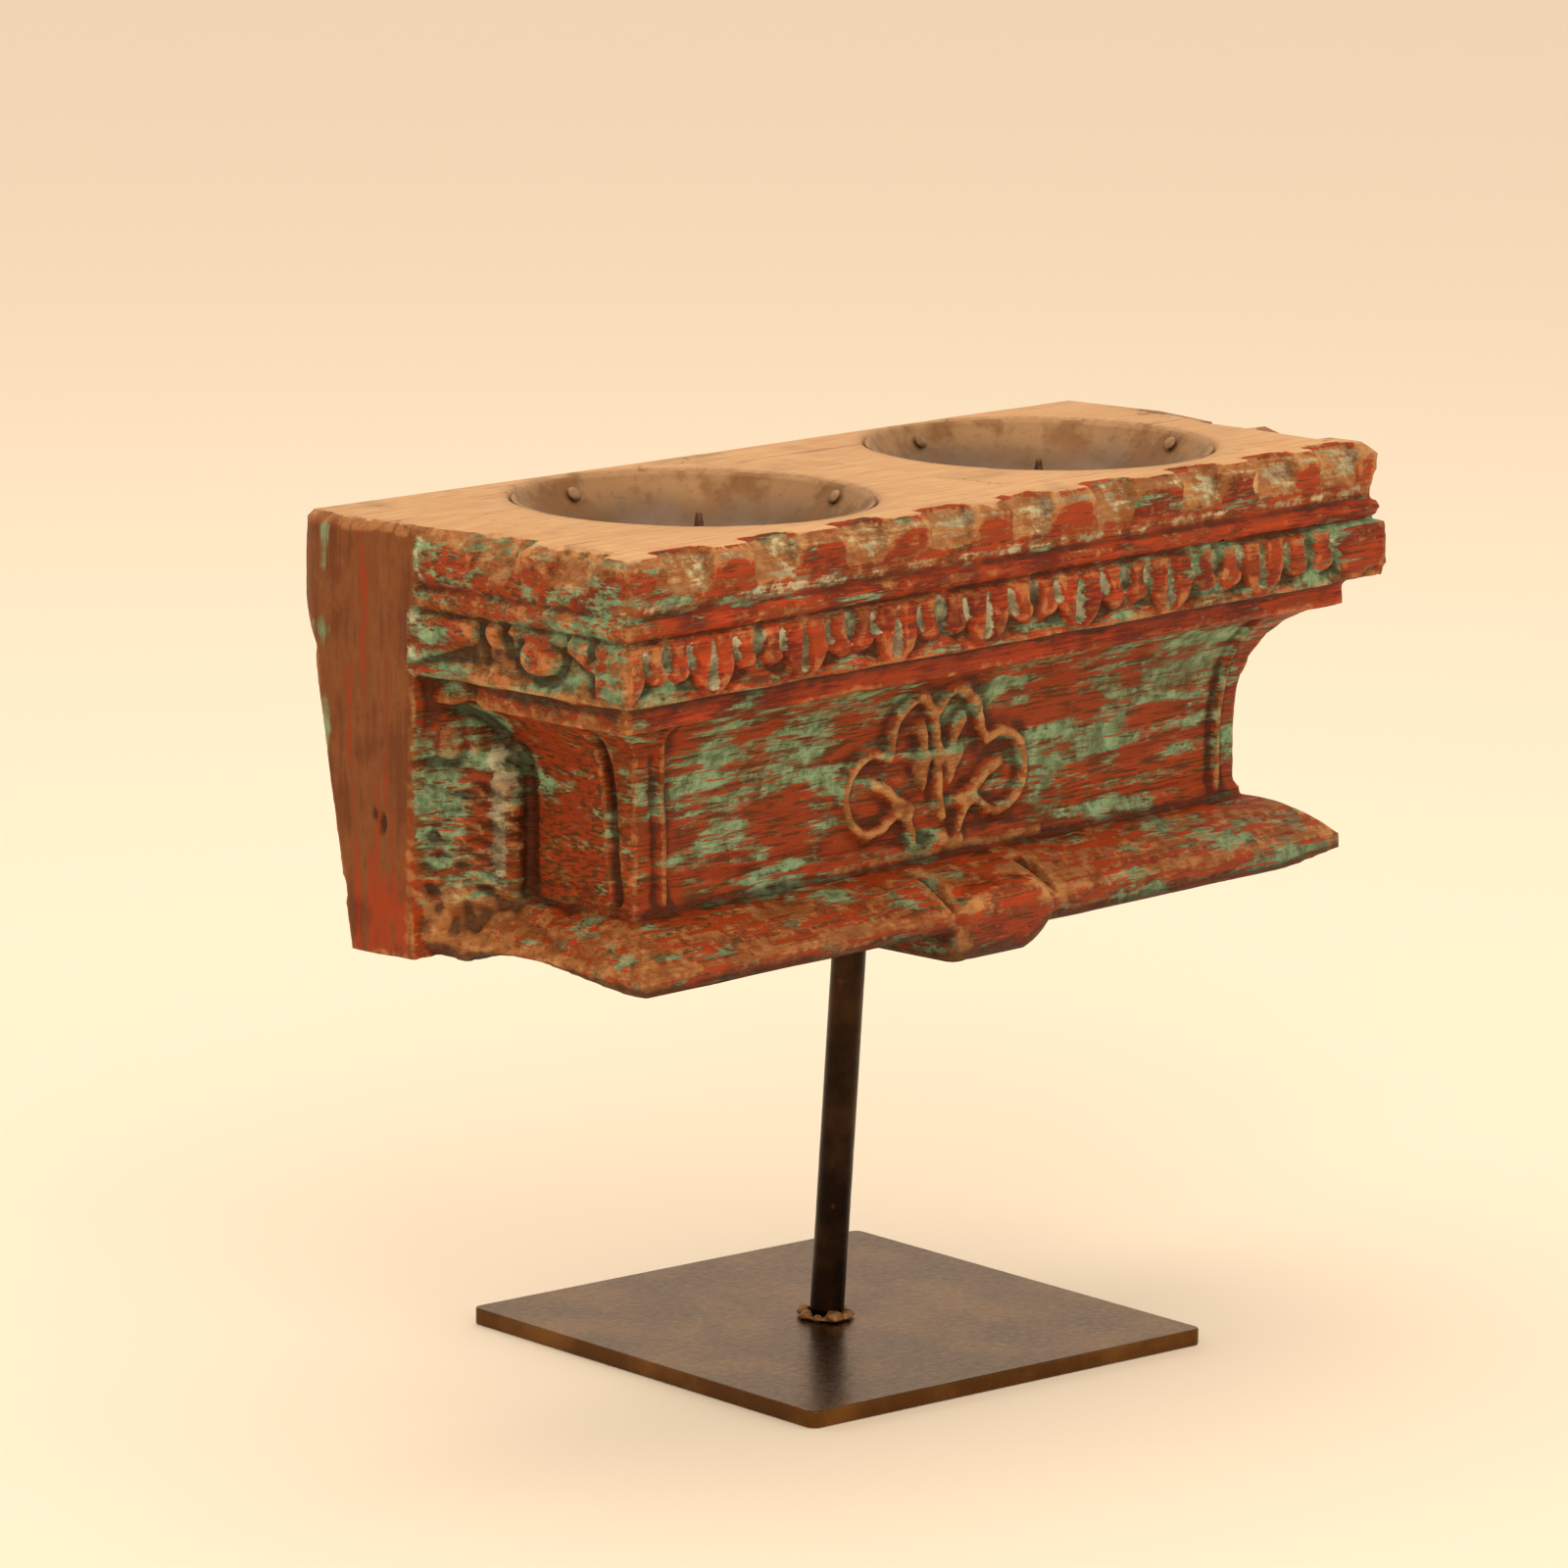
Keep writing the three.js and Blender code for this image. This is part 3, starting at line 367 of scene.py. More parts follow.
def leafReach(along, height, units, plainFrom, plainTo, seed):
    # how far one carved band stands out from the crown's plane, at each place along and above its foot
    rng = np.random.default_rng(seed)
    high = wood["bandHeight"]
    share = height / high
    ground = -2.6 + 2.0 * smooth(-share, -0.42, 0.0) - 0.5 * smooth(share, 0.85, 0.95)
    face = 1.3 - 1.4 * share - 2.0 * smooth(share, 0.94, 0.985)
    lobes, slots, eyes, hills = (np.full(len(along), -9.0) for _ in range(4))
    # shade collects painted shadow lines on the right side of each slot and eye
    curls, shade = np.zeros(len(along)), np.zeros(len(along))
    for middle, pitch in units:
        half = pitch / 2
        away = along - middle - rng.uniform(-0.4, 0.4)
        radius = 0.45 * half * rng.uniform(0.95, 1.04)
        foot = radius + rng.uniform(0.2, 0.9)
        lobes = np.maximum(lobes, radius - np.hypot(away, np.minimum(height - foot, 0)))
        for side in (-1, 1):
            low = high * rng.uniform(0.58, 0.64)
            small = 0.29 * half - np.hypot(away - side * 0.72 * half, np.minimum(height - low, 0))
            lobes = np.maximum(lobes, small)
            if plainFrom < middle + side * 0.25 * pitch < plainTo:
                # a bent slot on each side of the leaf, widest at its foot
                top, end = 0.9 * high, rng.uniform(0.42, 0.52) * high
                fall = np.clip((top - height) / (top - end), -0.2, 1.3)
                line = side * 0.25 * pitch + rng.uniform(0.9, 2.4) * fall ** 2 - 0.4
                wide = rng.uniform(1.6, 2.1) * (0.8 + 0.4 * np.clip(fall, 0, 1)) * smooth(-fall, -1.12, -0.9)
                slot = np.minimum(wide - np.abs(away - line), top - height)
                slots = np.maximum(slots, np.where(fall > 1.1, -9, slot))
                shade = np.maximum(shade, bump(slot, 0.1, 0.7) * (away > line) * (fall < 1.1))
        if plainFrom < middle < plainTo:
            # a teardrop down its middle
            top, end = 0.94 * high, rng.uniform(0.1, 0.16) * high
            fall = np.clip((top - height) / (top - end), 0, 1)
            wide = 1.0 + 1.9 * fall ** 1.2
            slot = wide - np.hypot(away + rng.uniform(-0.3, 0.3), np.minimum(height - end - 2.0, 0))
            slots = np.maximum(slots, np.minimum(slot, top - height))
            shade = np.maximum(shade, bump(slot, 0.1, 0.7) * (away > 0) * (height < top))
        edge = middle - half
        if plainFrom < edge < plainTo:
            # an eye between two leaves, with a pointed facet under it
            away = along - edge - rng.uniform(-0.3, 0.3)
            slope = np.clip(1 - np.abs(away + 0.8) / (0.32 * pitch), 0, 1) ** 1.3
            hills = np.maximum(hills, rng.uniform(0.5, 0.56) * high * slope - height)
            wide = rng.uniform(2.4, 3.0)
            rise = np.minimum(height - 0.72 * high, 0) * 0.75 + np.maximum(height - 0.8 * high, 0)
            eye = wide - np.hypot(away, rise)
            tail = 1.0 - 0.25 * np.abs(height - 0.5 * high) - np.abs(away)
            eyes = np.maximum(eyes, np.maximum(eye, np.minimum(tail, height - 0.36 * high)))
            shade = np.maximum(shade, bump(eye, 0.2, 0.9) * (away > 0))
            ring = np.hypot(away - 2.9, (height - 0.66 * high) * 0.7)
            curls += 0.7 * bell(ring, 1.6, 0.7) * (away > 0.8)
    hills = smooth(hills, -0.3, 0.5)
    ground = ground + (0.7 - 3.4 * share - ground) * hills
    ground = ground - 1.1 * bump(lobes, -0.7, 0.8) * smooth(height, 0.4, 1.4)
    inside = smooth(lobes, -0.2, 0.6)
    shoulder = 0.45 * (1 - smooth(lobes, 0.0, 2.2)) ** 2
    reach = ground + (face - shoulder - ground) * inside
    slots = smooth(slots, -0.2, 0.5)
    reach = reach - np.maximum(reach + 1.5, 0.8) * slots
    eyes = smooth(eyes, -0.2, 0.6)
    reach = np.where(eyes > 0, np.minimum(reach, reach + (-2.6 - reach) * eyes), reach)
    # painted shadow lines: round the lobes' edges and on the right of the slots and eyes
    shadowLines = np.maximum(bump(lobes, -0.6, 0.9) * (height > 0.6), 1.3 * shade)
    return reach + curls * (1 - eyes) * inside, np.maximum(slots, eyes), shadowLines, hills * (lobes < -0.3)


def leftBandReach(depth, height):
    # the left end's band isn't regular: broad lobes, bent slots, a deep hole, a round knob, a plain corner
    share = height / wood["bandHeight"]
    foot = 2.6 * smooth(depth, 8, 22) - 0.6 * smooth(-depth, 4, 14)
    ground = -3.4 + 2.6 * smooth(foot - height, -3.6, 0.4)
    lobes = np.full(len(depth), -9.0)
    for near, far, low, tilt, corner in ((58, 30.5, 6.2, -0.32, 3.5), (27.4, 21.2, 10.6, 0.3, 1.6),
                                         (19.2, -15, 13.6, 0.04, 1.5), (-14.0, -32, 1.2, 0.0, 1.2),
                                         (-1.8, -14, 10.5, 0.5, 1.5)):
        middle, half = (near + far) / 2, abs(near - far) / 2 - corner
        foot = low + tilt * (depth - middle) + corner
        across = np.maximum(np.abs(depth - middle) - half, 0)
        lobes = np.maximum(lobes, corner - np.hypot(across, np.minimum(height - foot, 0)))
    slots = np.full(len(depth), -9.0)
    for half, place, bend, low in ((1.3, 28.9, 0.02, 6.5), (1.2, 20.2, 0.035, 8.5)):
        away = np.abs(depth - place + bend * (height - 14) ** 2)
        slots = np.maximum(slots, half - away - np.maximum(low - height, 0))
    for place in (-2.8, -12.2):
        ends = np.maximum(12.0 - height, 0) * 0.6 + np.maximum(height - 16.6, 0)
        slots = np.maximum(slots, 0.9 - np.abs(depth - place) - ends)
    slots = np.maximum(slots, 2.3 - np.hypot(depth - 15.5, (height - 8.7) * 0.8))
    face = 0.9 - 1.0 * share - 2.0 * smooth(share, 0.94, 0.985)
    shoulder = 0.8 * (1 - smooth(lobes, 0.0, 2.6)) ** 2
    reach = ground + (face - shoulder - ground) * smooth(lobes, -0.4, 0.8)
    knob = np.hypot((depth - 6.6) / 7.4, (height - 10.3) / 5.5)
    dome = -2.0 + 4.2 * np.sqrt(np.clip(1 - knob ** 2, 0, 1))
    reach = np.where(knob < 1, np.maximum(dome, ground), reach)
    reach = reach - 2.4 * bell(knob, 1.09, 0.1) * (height < 15)
    heaps = 1.6 * spot(depth, height, (20, 4.4), (4.5, 2.4))
    heaps = heaps + 1.3 * spot(depth, height, (11, 4.0), (2.6, 2.0))
    slots = smooth(slots, -0.3, 0.6)
    # painted shadow lines round the lobes and in the groove round the knob
    shadowLines = bump(lobes, -0.9, 1.6) * (height > 1.5) + bump(knob, 1.1, 0.14)
    return reach - np.maximum(reach + 4.8, 0) * slots + heaps, slots, shadowLines


def carveBands(points):
    height = points[:, 2] - bandBottom
    level = between(height, -1.6, wood["bandHeight"] + 0.4)
    x, y, z = points.T
    near = level & (y < -crownFront + 6.5)
    wear = 0.35 * layeredNoise(points, 9, 3)
    reach = leafReach(x, height, leafUnits(), -crownHalf + 5, wood["rightPlain"], 5)[0] + wear
    plain = smooth(x, wood["rightPlain"] + 2.5, wood["rightPlain"] + 6) * smooth(height, 0.5, 3.5)
    reach = np.maximum(reach, plain * (0.9 - 0.06 * height) + (1 - plain) * -9)
    y[near] = np.maximum(y, -crownFront - reach)[near]
    left = level & (x < -crownHalf + 6.5) & (y < plankFront - 0.5)
    reach = leftBandReach(y, height)[0] + wear
    x[left] = np.maximum(x, -crownHalf - reach)[left]
    right = level & (x > crownHalf - 6.5) & between(y, -9, plankFront - 0.5)
    reach = leafReach(-y, height, wood["endLeaves"], -50, 10, 8)[0] + wear
    x[right] = np.minimum(x, crownHalf + reach)[right]
    # the bead stands clear between two dark grooves, under a set-back fascia
    reach = np.maximum(-2.6 + 2.7 * np.sqrt(np.clip(1 - ((z - 101.1) / 2.6) ** 2, 0, 1)), -3.1)
    reach = np.where(z > 103.2, -3.3 + 1.1 * smooth(z, 103.9, 104.8), reach)
    reach = np.where(z > 104.8, -2.2 + 1.0 * smooth(z, 105.5, 111), reach)
    reach = reach + 0.25 * layeredNoise(points, 12, 6, (2, 2, 0.6))
    level = between(z, 97.2, 111)
    near = level & (y < -crownFront + 5)
    y[near] = np.maximum(y, -crownFront - reach)[near]
    near = level & (np.abs(x) > crownHalf - 5) & (y < plankFront - 0.5)
    x[near] = (np.sign(x) * np.minimum(np.abs(x), crownHalf + reach))[near]
    return points


def toothPlace(value, edges):
    # which stretch between two edges a value is in, and how far across, from -1 to 1
    slot = np.clip(np.searchsorted(edges, value) - 1, 0, len(edges) - 2)
    middle, half = (edges[slot] + edges[slot + 1]) / 2, (edges[slot + 1] - edges[slot]) / 2
    return slot % 2 == 0, (value - middle) / half


def carveCrest(points):
    # teeth between the notches have worn round tops, rounder on their left
    x, y, z = points.T
    starts = notchStarts()
    ends = starts + wood["notchWidth"] + 1.0
    edges = np.sort(np.concatenate(([-crownHalf - 1], starts, ends, [crownHalf + 1])))
    tooth, across = toothPlace(x, edges)
    worn = layeredNoise(points, 9, 21)
    front = np.clip((-y - (crownFront - 4.5)) / 4.0, 0, 1)
    drop = np.where(across < 0, 7.5 * np.abs(across) ** 3.4, 1.6 * np.abs(across) ** 5)
    top = blockHeight - (0.2 + drop + 0.6 * worn) * front ** 1.3
    near = tooth & (front > 0) & (z > 109)
    z[near] = np.minimum(z, top)[near]
    # the same on the ends, where two notches part three broad teeth
    tooth, across = toothPlace(y, np.array((-crownFront - 1, -10.5, 4.0, 18.5, 33.0, 56.0)))
    for side in (-1, 1):
        front = np.clip((side * x - (crownHalf - 5.5)) / 5.0, 0, 1)
        top = blockHeight - (0.4 + 4.5 * np.abs(across) ** 3 + 0.9 * worn) * front ** 1.4
        near = tooth & (front > 0) & (z > 109) & (y < plankFront - 2)
        z[near] = np.minimum(z, top)[near]
    return points


def nearLine(across, up, line):
    # distance to a bent line, and the share of the way along it
    best, along = np.full(len(across), 99.0), np.zeros(len(across))
    line = np.array(line, float)
    for i, (start, end) in enumerate(zip(line, line[1:])):
        run = end - start
        part = np.clip(((across - start[0]) * run[0] + (up - start[1]) * run[1]) / (run @ run), 0, 1)
        away = np.hypot(across - start[0] - part * run[0], up - start[1] - part * run[1])
        along = np.where(away < best, (i + part) / (len(line) - 1), along)
        best = np.minimum(best, away)
    return best, along


def neckFront(height):
    share = np.clip((height - 42) / 30, 0, 1)
    return -18.9 * (1 - np.sqrt(1 - share ** 2))


def onPalmette(x, z):
    return (np.abs(x - wood["palmetteMiddle"]) < wood["palmetteHalf"]) & between(z, 17, 72)


def softened(points, edges):
    # the step in the plank's ends and the scroll, which gets finer ridges instead, and a lower palmette
    x, y, z = points.T
    head = (np.abs(x) > 148) & (y > plankFront + 1) & between(z, 82, 117)
    scroll = (x < -neckHalf) & between(y, 36, plankFront + 1.5) & between(z, 14, 56)
    share = relaxed((head | scroll).astype(float), edges, 8)
    points = points + (relaxed(points, edges, 40, 0.6) - points) * share[:, None]
    x, y, z = points.T
    out = neckFront(z) - y
    low = onPalmette(x, z) & between(out, 0.3, 4)
    y[low] -= 0.5 * out[low]
    return points, scroll


def carvePanel(move, points, normals):
    # bead lines down both sides of the panel, its foot, and a groove in each end
    x, y, z = points.T
    front = (y < 3) & (normals[:, 1] < -0.3) & between(z, 17, 72)
    beads = (
        (-1, ((118.8, 17), (119.4, 40), (121.5, 53), (126, 64), (130, 72))),
        (1, ((118.8, 17), (118.8, 42), (120.4, 54), (121.5, 64), (122, 72))),
    )
    for side, line in beads:
        away = nearLine(x, z, [(side * place, height) for place, height in line])[0]
        move += front * (0.9 * bell(away, 0, 1.1, 4) - 0.7 * bell(away, 2.3, 0.9))
    wave = 0.3 * np.sin(x / 21)
    foot = 0.5 * bell(z - wave, 20.2, 0.8) - 0.5 * bell(z - wave, 22.2, 0.9)
    move += front * (np.abs(x) < 117) * foot
    end = (np.abs(x) > neckHalf - 2) & (np.abs(normals[:, 0]) > 0.3) & between(z, 17.5, 72)
    away = nearLine(y, z, [(5.5, 18), (7.6, 32), (8.6, 46), (8.0, 56), (5.5, 66), (4.5, 71.5)])[0]
    move += end * (-1.6 * bell(away, 0, 1.3, 4) + 0.35 * bell(away, 2.9, 0.9))


def carveScroll(move, points, edges, scroll):
    # ridges on the left scroll, its upright edge, and the creases round its curl
    x, y, z = points.T
    bend = 1.5 * layeredNoise(points, 8, 91)
    strand = np.abs(np.sin(math.pi * (z - 0.5 * (y - 45) + 0.16 * (x + 145) + bend) / 4.8))
    strand = (strand - 0.7) * 3.2 * (0.6 + 0.4 * cellNoise(points, 7, 97))
    scroll = smooth(relaxed((scroll & (x < -131)).astype(float), edges, 3), 0.4, 1)
    move += scroll * (strand + 0.6 * layeredNoise(points, 3.2, 93))
    away = nearLine(y, z, [(40, 17), (40.5, 30), (41, 46), (43, 54), (46.5, 62), (51, 68)])[0]
    move += between(x, -146, -131) * (z < 69) * (1.7 * bell(away, 0, 1.5))
    move -= between(x, -133.5, -127) * between(z, 17, 60) * (y > 30) * 1.2 * bell(y, 38.5, 1.6)
    curl = np.hypot((y - 49.3) / 0.62 - (x + 150) * 0.7, z - 61.3)
    crease = 2.0 * bell(curl, 0, 5, 4) - 2.4 * bell(curl, 7.4, 1.1) * smooth(65 - z, 0, 4)
    move += (x < -136) * (y < plankFront) * crease


def carveLipEnd(move, points, normals):
    # a fold carved in the lip's left end, and the notch behind it
    x, y, z = points.T
    lip = (x < -132) & (z < 20) & (normals[:, 2] > -0.3) & (y < 50)
    away, along = nearLine(y, z, [(40, 15.5), (33, 12.5), (24, 11.6), (15, 9.5), (8, 7.5), (-2, 6.0)])
    fold = -1.0 * bell(away, 0, 0.9) + 0.35 * bell(away, 2.6, 1.2)
    move += lip * fold * smooth(1 - along, 0, 0.3)
    away = nearLine(y, z, [(27, 16.5), (19, 14.5), (10, 11.5)])[0]
    move += lip * -0.7 * bell(away, 0, 0.8)


def carvePlankEnd(move, points):
    # checks and worm holes round the plank's foot
    x, y, z = points.T
    for place, size, deep in wood["checks"]:
        move -= ((x < -150) & (y > 48)) * deep * spot(y, z, place, size)
    eaten = spot(y, z, (50, 12), (11, 12)) * (x < -128)
    holes = smooth(cellNoise(points, 2.7, 51), 0.35, 0.7) + 0.6 * smooth(cellNoise(points, 1.9, 55), 0.4, 0.7)
    move += eaten * (0.9 * layeredNoise(points, 6, 53) - 1.9 * holes)
    # the fillet's left run is wavy and breaks off before the plank
    fillet = (x < -148) & between(z, 71, 80) & (y < plankFront)
    move += fillet * (0.7 * layeredNoise(points, 11, 95, (1, 1, 0.6)) - 3.0 * bump(y, 40, 7))


def carveNeck(points, normals, edges):
    points, scroll = softened(points, edges)
    move = np.zeros(len(points))
    carvePanel(move, points, normals)
    carveScroll(move, points, edges, scroll)
    carveLipEnd(move, points, normals)
    carvePlankEnd(move, points)
    return points + normals * move[:, None]


def wornAndWorked(points, normals, edges):
    # worn arrises, hand-tool waves and chips
    ridge = np.clip(-relaxed(bendOf(points, normals, edges), edges, 3) / 0.12, 0, 1)
    chips = smooth(layeredNoise(points, 11, 31), 0.45, 1.0)
    depth = ridge * (0.08 + 0.9 * chips)
    waves = 0.28 * layeredNoise(points, 16, 41, (2.2, 2.2, 0.8))
    waves = waves + 0.12 * layeredNoise(points, 4.5, 45, (2.5, 2.5, 0.8), 2)
    x, y, z = points.T
    back = (y > plankFront + 8) | (z < 1) | (z > 117)
    waves = waves * np.where(back, 0.5, 1)
    points = points + normals * (waves - depth)[:, None]
    # the plank's top corners have worn round
    x, y, z = points.T
    high = (y > 70) & (z > 90)
    for side in (-1, 1):
        end = (side * x)[high].max()
        size = 1.0 + 4.5 * smooth(y, 60, 88)
        across, up = side * x - (end - size), z - (blockHeight - size)
        near = (across > 0) & (up > 0) & (y > 60)
        keep = np.minimum(1, size / np.maximum(np.hypot(across, up), 1e-6))
        x[near] = (side * (end - size + across * keep))[near]
        z[near] = (blockHeight - size + up * keep)[near]
    return points


def clearOfBowls(points):
    clear = bowlSphere + bowl["sheet"] + wood["bowlGap"]
    for x, y in bowl["places"].values():
        ray = points - (np.array((x, y, bowlCentre)) - blockPlace)
        size = np.linalg.norm(ray, axis=1)
        near = between(size, 40, clear)
        points[near] += (ray * ((clear - size) / size)[:, None])[near]
    return points


def fromBowlMiddle(x, y, place):
    return np.hypot(x + blockPlace[0] - place[0], y + blockPlace[1] - place[1])


def thinPlainParts(holder, points):
    # keep the faces where the carving is
    x, y, z = points.T
    fine = ((y < 12) & (z > -12)) | (x < -120)
    fine = fine & ~((z > 118.5) & (y > -14))
    for place in bowl["places"].values():
        fine = fine | ((fromBowlMiddle(x, y, place) < 56) & (z > 112))
    group = holder.vertex_groups.new(name="plain")
    for value, chosen in ((0.15, fine), (1.0, ~fine)):
        group.add(np.nonzero(chosen)[0].tolist(), value, "REPLACE")
    thin = holder.modifiers.new("thin", "DECIMATE")
    thin.ratio = min(1, wood["faces"] / (2 * len(holder.data.polygons)))
    thin.vertex_group = "plain"
    thin.vertex_group_factor = 6
    applied(holder)
    holder.vertex_groups.clear()


def buildWood():
    holder = mergedCopy("carved_wood", "bracket")
    fillBand(holder)
    remeshed(holder, wood["voxel"])
    points = carveNeck(readPoints(holder.data), normalsOf(holder.data), edgesOf(holder.data))
    writePoints(holder.data, carveCrest(carveBands(points)))
    remeshed(holder, wood["voxel"])
    print("wood carved", len(holder.data.vertices))
    edges = edgesOf(holder.data)
    points = relaxed(readPoints(holder.data), edges, 2, 0.35)
    writePoints(holder.data, points)
    points = clearOfBowls(wornAndWorked(points, normalsOf(holder.data), edges))
    writePoints(holder.data, points)
    thinPlainParts(holder, points)
    writePoints(holder.data, insideBox(readPoints(holder.data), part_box("bracket"), 0.02))
    print("wood done", sum(len(p.vertices) - 2 for p in holder.data.polygons), "triangles")
    return holder


carvedWood = buildWood()

# where the wood's layers show, from 0 to 1: whole block first, then patches seen on the neck
woodPaint = {
    "start": {"red": 0.5, "teal": 0.46, "rubbed": 0.2, "pale": 0.1},
    "patches": (  # place, half size, and what they add to teal and take from red
        ((74, 55), (26, 9), 0.2),
        ((57, 40), (22, 7), 0.2),
        ((-81, 47), (22, 9), 0.16),
        ((-101, 60), (14, 8), 0.14),
        ((-45, 64), (20, 6), 0.12),
        ((104, 60), (16, 10), 0.28),
        ((-60, 30), (26, 4), 0.1),
        ((25, 62), (16, 5), 0.12),
    ),
    "chip": (104.5, 113.5),
}


def woodAttributes(mesh):
    # how much of each paint layer, bare wood, and painted shade with grime every part of the block carries
    points, normals, edges = readPoints(mesh), normalsOf(mesh), edgesOf(mesh)
    x, y, z = points.T
    paint = {name: np.full(len(points), share) for name, share in woodPaint["start"].items()}

    def cover(mask, **shares):
        for name, share in shares.items():
            paint[name] = np.where(mask, share, paint[name])

    def tint(share, **amounts):
        for name, amount in amounts.items():
            paint[name] = paint[name] + amount * share

    bend = bendOf(points, normals, edges)
    fineBend, broadBend = relaxed(bend, edges, 2), relaxed(bend, edges, 14)
    # painted shade with some grime: darker in hollows and creases
    hollow = np.clip(fineBend / 0.12, 0, 1) * 0.7 + np.clip(broadBend / 0.05, 0, 1) * 0.5
    ridge = np.clip(-fineBend / 0.12, 0, 1)
    atLeft, atRight = smooth(-x, 140, 150), smooth(x, 0, 110)
    onFront = y < -19
    onCrown = onFront | ((np.abs(x) > 150) & (y < plankFront))
    carved = y < plankFront

    # the leaf band
    inBand = between(z, bandBottom - 1, wood["bandTop"] + 0.8) & onCrown
    depthIn = np.where(onFront, y + crownFront, crownHalf - np.abs(x))
    below = smooth(depthIn, 0.3, 1.4) * inBand
    height = z - bandBottom
    _, slots, shadowLines, hills = leafReach(x, height, leafUnits(), -crownHalf + 5, wood["rightPlain"], 5)
    deep, hill = slots * inBand * onFront, hills * inBand * onFront
    # rim holds painted shadow lines of the band's lobes, slots, eyes and knob
    rim = shadowLines * inBand * onFront * (x < wood["rightPlain"] + 3)
    _, slots, shadowLines = leftBandReach(y, height)
    pit = slots * inBand * (x < -150)
    rim = rim + shadowLines * inBand * (x < -157)
    cover(inBand, red=0.84 - 0.3 * hill - 0.36 * below - 0.3 * atLeft - 0.2 * atRight,
          teal=0.3 * deep + 0.1 * hill + 0.42 + 0.06 * below + 0.06 * atLeft + 0.06 * atRight,
          rubbed=0.27 + (0.2 - 0.1 * atLeft) * below + 0.08 * atLeft,
          pale=(0.58 - 0.12 * atRight) * deep + 0.16 * hill + 0.12)

    # the bead, the crest with its notches, the fascia's pale stripe and the band's foot
    bead = (np.abs(z - 101.2) < 3.2) & onCrown
    cover(bead, red=0.7 - 0.24 * atLeft, rubbed=0.32 + 0.1 * atLeft)
    crest = (z > 105) & carved
    cover(crest, red=0.62 - 0.1 * atLeft, teal=0.4 + 0.06 * atLeft, rubbed=0.32)
    notch = crest & between(z, 108, 119) & (normals[:, 2] > 0.3) & ((y < -16) | (np.abs(x) > 151))
    starts = notchStarts()
    inNotch = (x - starts[np.clip(np.searchsorted(starts, x) - 1, 0, 8)]) / wood["notchWidth"]
    rightHalf = smooth(inNotch, 0.4, 0.7) * (y < -16)
    cover(notch, red=0.36, teal=0.44 + 0.08 * rightHalf, rubbed=0.7 - 0.2 * atLeft,
          pale=0.3 + 0.16 * rightHalf)
    tint(bell(z, 106.5, 2.0) * onFront, pale=0.4, rubbed=0.18)
    tint(bell(z, bandBottom, 1.2) * onCrown, rubbed=0.1)

    # the fillet, the lip and its bud
    fillet = between(z, 71.5, 79.8) & ((y < -14) | (np.abs(x) > 145)) & carved
    cover(fillet, red=0.74 - 0.2 * atLeft, teal=0.38, rubbed=0.26 + 0.18 * atLeft)
    lip = (z < 16.5) & carved
    cover(lip, red=0.54, teal=0.45,
          rubbed=0.35 + 0.1 * bell(z, 11, 4) + 0.08 * smooth(-x, 125, 140))
    byBud = 0.35 * ridge * bell(np.abs(x), 21, 7)
    tint(lip * (0.26 * bell(z, 5.6, 0.7) + 0.02 * atRight + byBud), rubbed=1)
    tint(lip * bell(x, 0, 19, 4) * (y < -15), red=0.08, teal=-0.07)
    tint(lip * atRight, teal=0.05)

    # the palmette's strips, the neck's patches and its ends
    out = neckFront(z) - y
    tint(smooth(out, 0.9, 1.8) * onPalmette(x, z) * (out < 5) * (y < 0), rubbed=0.34, red=-0.06)
    for place, size, share in woodPaint["patches"]:
        there = spot(x, z, place, size) * (y < 10) * between(z, 16, 76)
        tint(there, teal=share, red=-0.8 * share)
    end = smooth(np.abs(x), neckHalf - 3, neckHalf) * between(y, -8, 44) * between(z, 16, 73)
    tint(end, red=-0.02, teal=-0.1)
    tint(spot(y, z, (21, 46), (5, 9)) * end, teal=0.3)

    # the scroll's curl, edge and strands are the palest part
    scroll = (x < -130) & between(y, 38, 54) & between(z, 15, 70)
    scroll = smooth(relaxed(scroll.astype(float), edges, 3), 0.2, 0.8)
    cover(scroll > 0.5, red=0.42, teal=0.5)
    uprightEdge = bell(y, 41.5, 1.8) * smooth(z, 18, 28) * smooth(66 - z, 0, 8)
    tint(scroll * (0.16 + 0.4 * uprightEdge), pale=1)

    # worn lines along every broad arris, the eaten heap in the corner, the seam beside the plank
    tint(np.clip((-broadBend - 0.03) / 0.04, 0, 1) * (~inBand) * (~bead), rubbed=0.12)
    tint(spot(y, z, (46, 14), (12, 9)) * (x < -126), rubbed=0.35, pale=0.12)
    tint(bell(y, 53, 2.2) * (x < -150) * smooth(z, 76, 80), pale=0.4)

    # the plank has thin stains in place of paint
    plank = smooth(y, plankFront - 0.5, plankFront + 1.5)
    olive = bell(y, 89, 4.5) * plank
    stains = {
        "red": 0.29 - 0.3 * olive + 0.26 * smooth(-z, -34, -10),
        "teal": 0.24 + 0.2 * olive + 0.22 * spot(y, z, (58, 10), (5, 10)),
        "rubbed": 0.3,
    }
    for name, share in stains.items():
        paint[name] = paint[name] * (1 - plank) + plank * share
    behind = smooth(normals[:, 1], 0.3, 0.7) * smooth(y, 60, 70)
    under = smooth(-normals[:, 2], 0.5, 0.8) * smooth(-z, -14, -4)

    # the top and the bowls' seats are raw wood, smoked round the bowls, with one chip in the crest
    raw = smooth(z, 118.6, 119.6) * smooth(normals[:, 2], 0.72, 0.94)
    raw = np.where(notch & (y < -16) & (raw < 0.3), 0.3, raw)
    chipX, chipZ = woodPaint["chip"]
    raw = np.maximum(raw, np.exp(-((x - chipX) / 2.0) ** 4 - ((z - chipZ) / 3.2) ** 4) * onFront)
    smoke = np.zeros(len(points))
    for place in bowl["places"].values():
        away = fromBowlMiddle(x, y, place)
        raw = np.maximum(raw, (away < 53.5) * (z > 100))
        smoke = np.maximum(smoke, bell(away, 50, 5))
